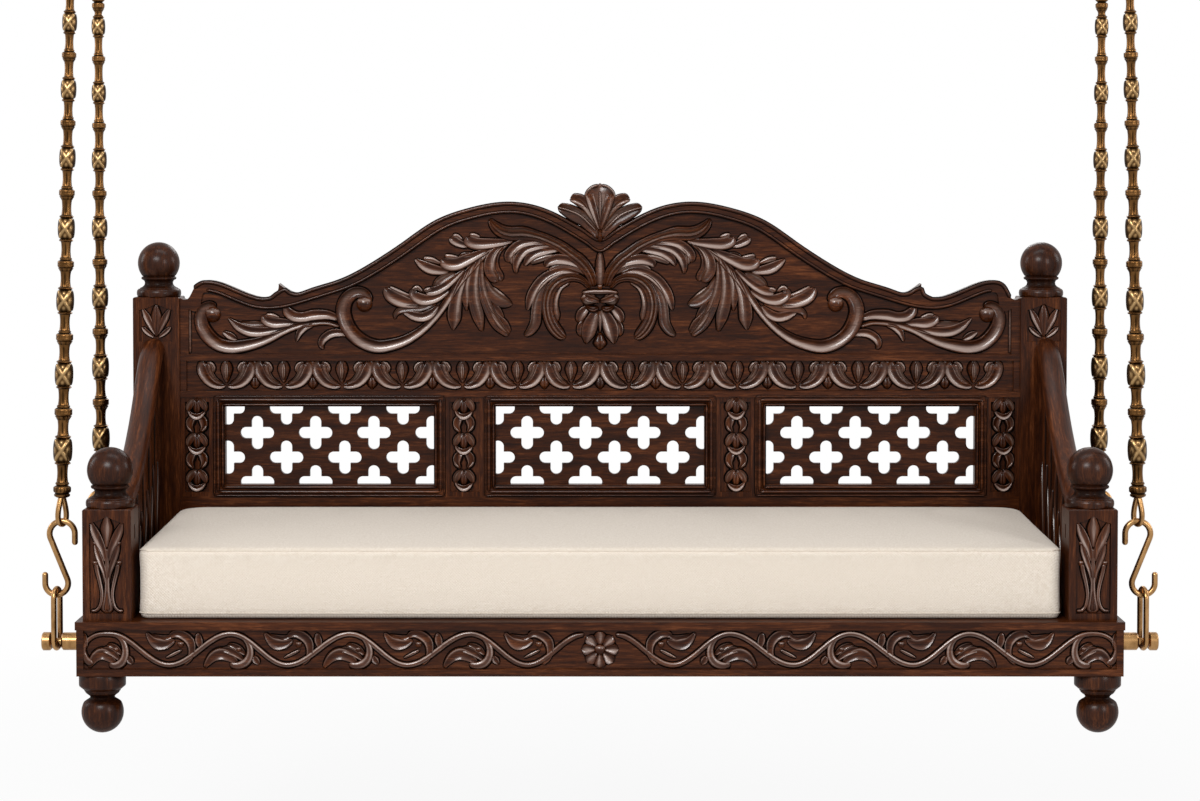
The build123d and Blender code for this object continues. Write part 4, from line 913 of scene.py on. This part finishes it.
# ---------------------------------------------------------------- turned feet and finials
def arc(middle, radius, first, last, count=14):
    """Rows (height, radius) round a ball: heights go with the sine, radii with the cosine."""
    turn = np.radians(np.linspace(first, last, count))
    return list(zip(middle + radius * np.sin(turn), radius * np.cos(turn)))


def lathe(profile, x, y, z, around=64):
    """Closed skin of revolution about the upright through (x, y). Paints shade into the narrow necks.
    """
    up, out = np.array(profile).T
    turn = np.linspace(0, 2 * np.pi, around, endpoint=False)
    rings = np.stack([x + out[:, None] * np.cos(turn), y + out[:, None] * np.sin(turn),
                      z + up[:, None] + 0 * turn], axis=2)
    poles = np.array([[x, y, z + up[0]], [x, y, z + up[-1]]])
    hollow = np.clip((np.maximum.accumulate(out) - out) / 12, 0, 1)
    after = np.clip((np.maximum.accumulate(out[::-1])[::-1] - out) / 12, 0, 1)
    # Painted shade in the necks, deepest where the parts on both sides stand out further.
    recess = np.minimum(hollow, after)[:, None] * 0.7 + 0 * turn
    return closed_shell(rings, poles, recess, 0 * recess)


finial_profile = [(0, 1), (0, 39.2), (1.2, 41.0), (4, 42.0), (8, 42.2), (11.6, 41.6), (14, 40),
                  (15.2, 38), (15.6, 36.4), (17.2, 35.2), (18.2, 32.6), (20.4, 29.4), (23.4, 27.2),
                  (27, 26.6), (30, 27.6), (32.2, 29.6), (33, 32), (34.6, 33.2), (36.4, 33.2),
                  (37.8, 32.2), (38.6, 30.4), (39.4, 30)] + arc(64.3, 39.8, -37, 89.6, 26)
foot_profile = arc(36.4, 36.4, -89.6, 28, 26) + [
    (56.5, 28.2), (58.8, 24.4), (60.6, 21.9), (62.2, 21.0), (64, 21.6), (66, 23.6), (68.6, 27.2),
    (70.6, 29.2), (72.8, 29.8), (73.2, 31), (75.6, 31.6), (76.6, 33.4), (82, 39.8), (84, 40.4),
    (101.8, 40.4), (103.6, 39.4), (104, 38), (104, 1)]
for side_name, side in both_hands:
    turned = {}
    for row_name, post in (("front", front_post), ("back", back_post)):
        turned[f"finial_{row_name}_{side_name}"] = lathe(
            finial_profile, side * post["middle"], post["depth"], post["top"])
    for row_name, depth in (("front", -foot_depth), ("rear", foot_depth)):
        turned[f"foot_{row_name}_{side_name}"] = lathe(foot_profile, side * foot_middle, depth, 0.0)
    for node_name, shell in turned.items():
        add_piece(f"turned_{node_name}", [shell], "bench", wood_turned, crease=35,
                  replaced=(node_name,))


# ---------------------------------------------------------------- seat cushion
def cloned(node_name, name):
    """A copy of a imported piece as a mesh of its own, its loose triangles merged."""
    mesh = bpy.data.meshes.new(name)
    merged = bmesh.new()
    merged.from_mesh(nodes[node_name].data)
    bmesh.ops.remove_doubles(merged, verts=merged.verts, dist=1e-5)
    merged.to_mesh(mesh)
    merged.free()
    piece = bpy.data.objects.new(name, mesh)
    scene.collection.objects.link(piece)
    return piece


def vertices_of(mesh):
    """The places of a mesh's points, one row for each."""
    points = np.empty(len(mesh.vertices) * 3, np.float32)
    mesh.vertices.foreach_get("co", points)
    return points.reshape(-1, 3).astype(float)


def applied(piece):
    """Bakes the piece's modifiers into its mesh."""
    graph = bpy.context.evaluated_depsgraph_get()
    mesh = bpy.data.meshes.new_from_object(piece.evaluated_get(graph))
    piece.modifiers.clear()
    piece.data = mesh


def evened(piece, size):
    """Gives the piece an even mesh of squares of one size, and returns its points."""
    remesh = piece.modifiers.new("even_mesh", "REMESH")
    remesh.mode = "VOXEL"
    remesh.voxel_size = size
    applied(piece)
    return vertices_of(piece.data)


def blown_up(piece, rest, cap):
    """How far each point goes when the cover is blown up as cloth from inside, up to a limit."""
    cover = piece.modifiers.new("cover", "CLOTH")
    cover.settings.quality = 6
    cover.settings.use_pressure = True
    cover.settings.uniform_pressure_force = 4.0
    cover.settings.tension_stiffness = 20.0
    cover.settings.compression_stiffness = 20.0
    cover.settings.bending_stiffness = 2.0
    cover.settings.effector_weights.gravity = 0.0
    cover.point_cache.frame_start = 1
    cover.point_cache.frame_end = 20
    for step in range(1, 21):
        scene.frame_set(step)
    applied(piece)
    scene.frame_set(1)
    moved_by = vertices_of(piece.data) - rest
    far = np.linalg.norm(moved_by, axis=1)[:, None]
    return moved_by * np.minimum(1.0, cap / np.maximum(far, 1e-9))


def on_rounded_box(points, centre, half, radius):
    """The nearest place on a box with rounded edges: the box drawn in by the radius, then the
    radius again along the way out."""
    away = points - centre
    core = np.clip(away, -(half - radius), half - radius)
    out = away - core
    return centre + core + out * radius / np.maximum(np.linalg.norm(out, axis=1), 1e-6)[:, None]


def with_round_corners(points, centre, half, front, back):
    """Rounds the upright corners: inside the last stretch before a corner, of the length of its
    radius, squares about the corner's own centre become circles of the same reach."""
    away = points[:, :2] - centre[:2]
    radius = np.where(away[:, 1:] < 0, front, back)
    core = np.clip(away, -(half[:2] - radius), half[:2] - radius)
    out = away - core
    reach = np.abs(out).max(axis=1) / np.maximum(np.linalg.norm(out, axis=1), 1e-6)
    rounded = points.copy()
    rounded[:, :2] = centre[:2] + core + out * reach[:, None]
    return rounded


# The cushion's sizes, in metres: the squares of its mesh, how far its cover may swell, its edge
# radius, the radii of its front and back corners, its crown, and how much its back is higher.
cover_square, most_swell, edge_radius = 0.010, 0.007, 0.010
front_corner, back_corner, crown_high, back_higher = 0.014, 0.055, 0.004, 0.012

cushion = cloned("cushion", "seat_cushion")
low, high = (np.array(corner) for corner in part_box("cushion"))
centre, half = (low + high) / 2, (high - low) / 2
rest = evened(cushion, cover_square)
swelling = blown_up(cushion, rest, most_swell)
shape = with_round_corners(on_rounded_box(rest, centre, half, edge_radius), centre, half,
                           front_corner, back_corner)
share = np.clip((shape - centre) / half, -1, 1)
crown = (1 - share[:, 0] ** 10) * (1 - np.abs(share[:, 1]) ** 7) * crown_high
tilt = (share[:, 1] + 1) / 2 * back_higher
swelling[:, 2] = swelling[:, 2] * 0.25 + np.clip(share[:, 2], 0, 1) * (crown + tilt - 0.003)
swelling[:, :2] *= (1 - np.abs(share[:, 2:]) ** 3) * 0.5
shape += swelling
shape[:, 1] = np.clip(shape[:, 1], low[1] - 0.0080, high[1] + 0.0012)
shape[:, 2] = np.maximum(shape[:, 2], low[2])
cushion.data.vertices.foreach_set("co", shape.astype(np.float32).ravel())
cushion.data.polygons.foreach_set("use_smooth", np.ones(len(cushion.data.polygons), bool))
cushion.data.materials.clear()
cushion.data.materials.append(linen_cloth)
finer = cushion.modifiers.new("finer", "SUBSURF")
finer.levels = finer.render_levels = 1
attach(cushion, "cushion")
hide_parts("cushion")


def swept(line, radius, upright, around=12):
    """Closed skin of a bent wire that comes back to its start. Each ring is square to the line."""
    heading = np.roll(line, -1, axis=0) - np.roll(line, 1, axis=0)
    out = np.cross(heading, upright)
    out /= np.linalg.norm(out, axis=1)[:, None]
    over = np.cross(out, heading)
    over /= np.linalg.norm(over, axis=1)[:, None]
    turn = np.linspace(0, 2 * np.pi, around, endpoint=False)[None, :, None]
    rings = line[:, None] + radius * (out[:, None] * np.cos(turn) + over[:, None] * np.sin(turn))
    marks = np.zeros(rings.shape[:2])
    return closed_shell(rings, None, marks, marks)


def seam_line(level, corner=28.0, step=8.0):
    """Sewn edge round the cushion, laid on its cover: straight sides and quarter-round corners."""
    cover = BVHTree.FromPolygons([tuple(point) for point in shape],
                                 [tuple(face.vertices) for face in cushion.data.polygons])
    wide, deep = half[0] * 1000 - corner, half[1] * 1000 - corner
    turn = np.radians(np.linspace(0, 360, 64, endpoint=False))
    round_x = np.clip(np.cos(turn) * 1e3, -1, 1) * wide + corner * np.cos(turn)
    round_y = np.clip(np.sin(turn) * 1e3, -1, 1) * deep + corner * np.sin(turn)
    corners = np.stack([round_x, round_y], axis=1)
    line = []
    for first, second in zip(corners, np.roll(corners, -1, axis=0)):
        parts = max(1, int(np.linalg.norm(second - first) / step))
        line += [first + (second - first) * part / parts for part in range(parts)]
    spots = [Vector(((x / 1000 + centre[0]), (y / 1000 + centre[1]), level)) for x, y in line]
    return np.array([cover.find_nearest(spot)[0] for spot in spots])


seams = []
for level in (high[2] - 0.004, low[2] + 0.010):
    line = seam_line(level)
    smooth = (np.roll(line, 1, axis=0) + line + np.roll(line, -1, axis=0)) / 3
    seam = swept(smooth * 1000, 1.0, np.array([0.0, 0.0, 1.0]), 8)
    # The seams take painted shade all along.
    seam["recess"] += 1.0
    seams.append(seam)
add_piece("cushion_seams", seams, "cushion", linen_cloth)


# ---------------------------------------------------------------- brass chains
ferrule_long, foot_ring, head_ring, eye_wire = 22.0, 17.5, 13.5, 4.9


def bead_relief(turn, level):
    """Raised bands that cross in front of each bead, one set leaning each way: a narrow power
    of the cosine of the way round it, less or plus the level. Bell-shaped buds fill the fields
    above, below and beside the crossing."""
    ahead = turn + math.pi / 2
    rising, falling = np.abs(np.cos(ahead + 0.95 * level)), np.abs(np.cos(ahead - 0.95 * level))
    bands = np.maximum(rising, falling) ** 44
    aside = np.abs(np.sin(ahead))
    ends = np.exp(-(aside / 0.20) ** 2 - ((np.abs(level) - 0.66) / 0.16) ** 2)
    sides = np.exp(-((aside - 0.66) / 0.15) ** 2 - (level / 0.30) ** 2)
    return np.maximum(bands, 0.75 * np.maximum(ends, sides))


def link_shell(low, high, bead, scale, place):
    """One cast link: tube, rimmed and carved bead, tube, scalloped cup and ring. Heights are
    along the chain from its foot, and radii are shares of the bead's. Both ends reach into the
    next link."""
    ring, half, s = 18.0 * scale, 21.0 * scale, scale
    tube = np.linspace(-1, 1, 11)
    barrel = np.sin(np.linspace(-1.35, 1.35, 21)) / np.sin(1.35)
    lower = (low + 5.5, bead - half - 5.5)
    upper = (bead + half + 5.5, high - 22 * s)
    rows = [(low - 2.0, .44, 1, 0), (low + 0.3, .58, 1, 0), (low + 1.2, .66, 0, 0),
            (low + 3.6, .66, 0, 0), (low + 4.6, .58, 1, 0)]
    rows += [(lower[0] + (t + 1) / 2 * (lower[1] - lower[0]), .50 + .06 * t * t, 0, 1) for t in tube]
    rows += [(bead - half - 4.4, .58, 1, 0), (bead - half - 3.6, .72, 0, 0),
             (bead - half - 2.0, .79, 0, 0), (bead - half - 0.6, .72, 0, 0),
             (bead - half + 0.4, .66, 1, 0)]
    rows += [(bead + b * (half - 1.2), .70 + .30 * (1 - b * b) ** .30, 0, 2) for b in barrel]
    rows += [(bead + half - 0.4, .66, 1, 0), (bead + half + 0.6, .72, 0, 0),
             (bead + half + 2.0, .79, 0, 0), (bead + half + 3.6, .72, 0, 0),
             (bead + half + 4.4, .58, 1, 0)]
    rows += [(upper[0] + (t + 1) / 2 * (upper[1] - upper[0]), .50 + .06 * t * t, 0, 1) for t in tube]
    rows += [(high - 20 * s, .60, .5, 3), (high - 17.5 * s, .68, 0, 3), (high - 14.6 * s, .78, 0, 3),
             (high - 13.8 * s, .70, 1, 0), (high - 13 * s, .80, 0, 0), (high - 11 * s, .86, 0, 0),
             (high - 9 * s, .84, 0, 4), (high - 5.5 * s, .84, 0, 4), (high - 3.5 * s, .86, 0, 0),
             (high - 1.6 * s, .80, 0, 0), (high - 0.5, .68, 1, 0), (high + 1.0, .50, 1, 0)]
    up, share, groove, kind = np.array(rows).T[:, :, None]
    turn = np.linspace(0, 2 * np.pi, 64, endpoint=False)[None, :]
    level = (up - bead) / half
    bands = bead_relief(turn, level) * (kind == 2)
    along_tube = np.where(up < bead, (up - lower[0]) / (lower[1] - lower[0]),
                          (up - upper[0]) / (upper[1] - upper[0])) * 2 - 1
    slit = np.clip(1.15 - 2.1 * np.abs(np.sin(2 * turn)) - along_tube ** 4, 0, 1) * (kind == 1)
    scallop = np.cos(8 * turn) * (kind == 3) + 0.5 * np.cos(20 * turn) * (kind == 4)
    radius = ring * (share + 0.09 * bands - 0.07 * (kind == 2) - 0.09 * slit + 0.035 * scallop)
    # The bead's ground between the bands: patina with painted shade. The tube's slits and the cup's
    # hollows: painted shade.
    ground = np.clip(0.88 - 1.8 * bands, 0, 1) * (kind == 2)
    dark = ground + 0.95 * slit + 0.5 * (scallop < -0.3)
    rings = place(radius, turn, up)
    poles = place(np.zeros((2, 1)), np.zeros((1, 1)), up[[0, -1]])[:, 0]
    # The raised bands take the painted highlight, partly wear.
    return closed_shell(rings, poles, np.clip(groove + dark, 0, 1), np.clip(bands, 0, 1))


def ferrule_shell(low, radius, upside, place):
    """End cap of a chain: two rims, a waist and a broad band. Upside is -1 for the top one."""
    rows = [(0.0, .52, 1), (0.6, .60, 0), (2.6, .78, 0), (5.2, .80, 0), (6.8, .70, 1), (8.4, .72, 1),
            (9.4, .82, 0), (11.0, .86, 0), (17.5, .86, 0), (19.2, .80, 0), (20.2, .66, 1),
            (21.2, .62, 0), (ferrule_long, .56, 1)]
    up, share, groove = np.array(rows).T[:, :, None]
    turn = np.linspace(0, 2 * np.pi, 40, endpoint=False)[None, :]
    middle = (np.abs(up - 14.2) < 3.4) * np.cos(14 * turn)
    height = low + (up if upside > 0 else ferrule_long - up)
    rings = place(radius * (share + 0.03 * middle), turn, height)
    poles = place(np.zeros((2, 1)), np.zeros((1, 1)), height[[0, -1]])[:, 0]
    # Patina with painted shade in the grooves and between the flutes.
    dark = np.clip(groove + (middle < -0.4) * 0.8, 0, 1) + 0 * turn
    return closed_shell(rings, poles, dark, 0 * dark)


def pear_eye(x, y, root, tip, width, yaw):
    """Eye of drawn wire: narrow in its ferrule and wide at its tip. Across it the line goes with
    the sine, and that half width grows from a quarter at the root to the whole at the tip."""
    turn = np.linspace(0, 2 * np.pi, 72, endpoint=False)
    across = width / 2 * np.sin(turn) * (0.62 - 0.38 * np.cos(turn))
    up = root + (tip - root) * (1 - np.cos(turn)) / 2
    line = np.stack([x + across * math.sin(yaw), y - across * math.cos(yaw), up], axis=1)
    square = np.array([math.cos(yaw), math.sin(yaw), 0.0])
    return swept(line, eye_wire, square, 16)


def along_chain(foot, head):
    """Sets rings round the straight line from foot to head, by radius, turn about the line and
    height along it."""
    along = (head - foot) / np.linalg.norm(head - foot)
    forth = np.array([0.0, 1.0, 0.0])
    over = np.cross(along, forth)
    return lambda radius, turn, up: (foot + along * up[..., None]
                                     + over * (radius * np.cos(turn))[..., None]
                                     + forth * (radius * np.sin(turn))[..., None])


# Each hanger: its foot and head sideways, its depth, the height of its lowest bead, the step
# from there to the next bead, and how much shorter each further step is.
hangers = {"front": (938.45, 917.75, -240.0, 83.0, 132.0, 3.2),
           "rear": (948.75, 948.75, 240.0, 61.0, 135.0, 2.0)}
last_bead, joint_share = 6, 0.56
# The wire eyes: level of the root, level of the tip, and width.
foot_eye, head_eye, foot_eye_turn = (408.0, 356.1, 29.0), (1306.0, 1358.3, 26.0), math.radians(34)
for side_name, side in both_hands:
    for row_name, (foot_x, head_x, y, lowest, pitch, shorter) in hangers.items():
        foot = np.array([side * foot_x, y, chain_foot_level])
        head = np.array([side * head_x, y, chain_head_level])
        length, place = np.linalg.norm(head - foot), along_chain(foot, head)
        beads = [lowest + index * pitch - shorter * index * (index - 1) / 2
                 for index in range(last_bead + 1)]
        joints = ([ferrule_long] + [a + joint_share * (b - a) for a, b in zip(beads, beads[1:])]
                  + [length - ferrule_long])
        shells = [ferrule_shell(0.0, foot_ring, 1, place),
                  ferrule_shell(length - ferrule_long, head_ring, -1, place)]
        for index, bead in enumerate(beads):
            scale = 1 - index / last_bead * (1 - head_ring / foot_ring)
            shells.append(link_shell(joints[index], joints[index + 1], bead, scale, place))
        body = f"hanger_{row_name}_{side_name}"
        add_piece(f"chain_links_{row_name}_{side_name}", shells, body, brass_cast,
                  crease=50, replaced=(f"chain_{row_name}_{side_name}",))
        eyes = [pear_eye(side * foot_x, y, *foot_eye, side * foot_eye_turn),
                pear_eye(side * head_x, y, *head_eye, 0.0)]
        add_piece(f"chain_eyes_{row_name}_{side_name}", eyes, body, brass_wire, crease=60)


# ---------------------------------------------------------------- studio
def studio_floor():
    """Pale floor. Round the bench it keeps a soft shadow, and further out it fades to white."""
    sheet = Sheet(bpy.data.materials.new("studio_floor"))
    place = sheet.node("ShaderNodeTexCoord", output="Object")
    away = sheet.node("ShaderNodeVectorMath", {"operation": "LENGTH"}, {0: place}, "Value")
    share = sheet.background_rays() * (away.between(1.0, 3.5) * 0.14 + 0.86)
    glow = sheet.node("ShaderNodeEmission", {}, {"Color": (1.0, 1.0, 1.0, 1.0)})
    matt = sheet.node("ShaderNodeBsdfDiffuse", {}, {"Color": (0.82, 0.82, 0.82, 1.0)})
    blend = sheet.node("ShaderNodeMixShader", {}, {0: share, 1: matt, 2: glow})
    sheet.node("ShaderNodeOutputMaterial", {}, {"Surface": blend})
    return sheet.owner


floor_level, floor_reach = -0.38, 30
floor_mesh = bpy.data.meshes.new("floor")
floor_mesh.from_pydata([(x * floor_reach, y * floor_reach, floor_level)
                        for x, y in ((-1, -1), (1, -1), (1, 1), (-1, 1))], [], [(0, 1, 2, 3)])
floor_mesh.materials.append(studio_floor())
floor = bpy.data.objects.new("floor", floor_mesh)
scene.collection.objects.link(floor)


def studio_air():
    """White where it is seen, and dim where it only lights the bench."""
    sheet = Sheet(bpy.data.worlds.new("studio_air"))
    white = (1.0, 1.0, 1.0, 1.0)
    dim = sheet.node("ShaderNodeBackground", {}, {"Color": white, "Strength": 0.22})
    bright = sheet.node("ShaderNodeBackground", {}, {"Color": white, "Strength": 1.0})
    blend = sheet.node("ShaderNodeMixShader", {}, {0: sheet.background_rays(), 1: dim, 2: bright})
    sheet.node("ShaderNodeOutputWorld", {}, {"Surface": blend})
    return sheet.owner


scene.world = studio_air()


lamp_target = (0.0, 0.0, 0.5)


def lamp(name, place, size, power):
    """A soft box of a width and a height, aimed at the middle of the seat."""
    light = bpy.data.lights.new(name, "AREA")
    light.shape = "RECTANGLE"
    light.size, light.size_y = size
    light.energy = power
    box = bpy.data.objects.new(name, light)
    box.location = place
    box.rotation_euler = (Vector(lamp_target) - Vector(place)).to_track_quat("-Z", "Y").to_euler()
    scene.collection.objects.link(box)


lamp("key_box", (-1.3, -4.2, 2.9), (2.0, 1.2), 165.0)
lamp("fill_box", (2.9, -3.8, 1.6), (0.9, 1.6), 45.0)
lamp("top_box", (0.0, -0.6, 3.4), (2.6, 0.7), 24.0)
lamp("back_box", (0.6, 3.8, 2.6), (1.8, 1.1), 45.0)
lamp("left_box", (-4.2, 0.8, 1.9), (0.8, 1.8), 38.0)
lamp("right_box", (4.2, 0.8, 1.9), (0.8, 1.8), 38.0)

camera_dip = 2.2
camera_data = bpy.data.cameras.new("camera")
camera_data.sensor_width = 36.0
camera_data.lens = 91.29
camera_data.shift_y = -0.0988
camera_data.clip_end = 100.0
camera = bpy.data.objects.new("camera", camera_data)
camera.location = (0.0, -5.53, 0.9825)
camera.rotation_euler = (math.radians(90.0 - camera_dip), 0.0, 0.0)
scene.collection.objects.link(camera)
scene.camera = camera
scene.view_settings.view_transform = "Standard"
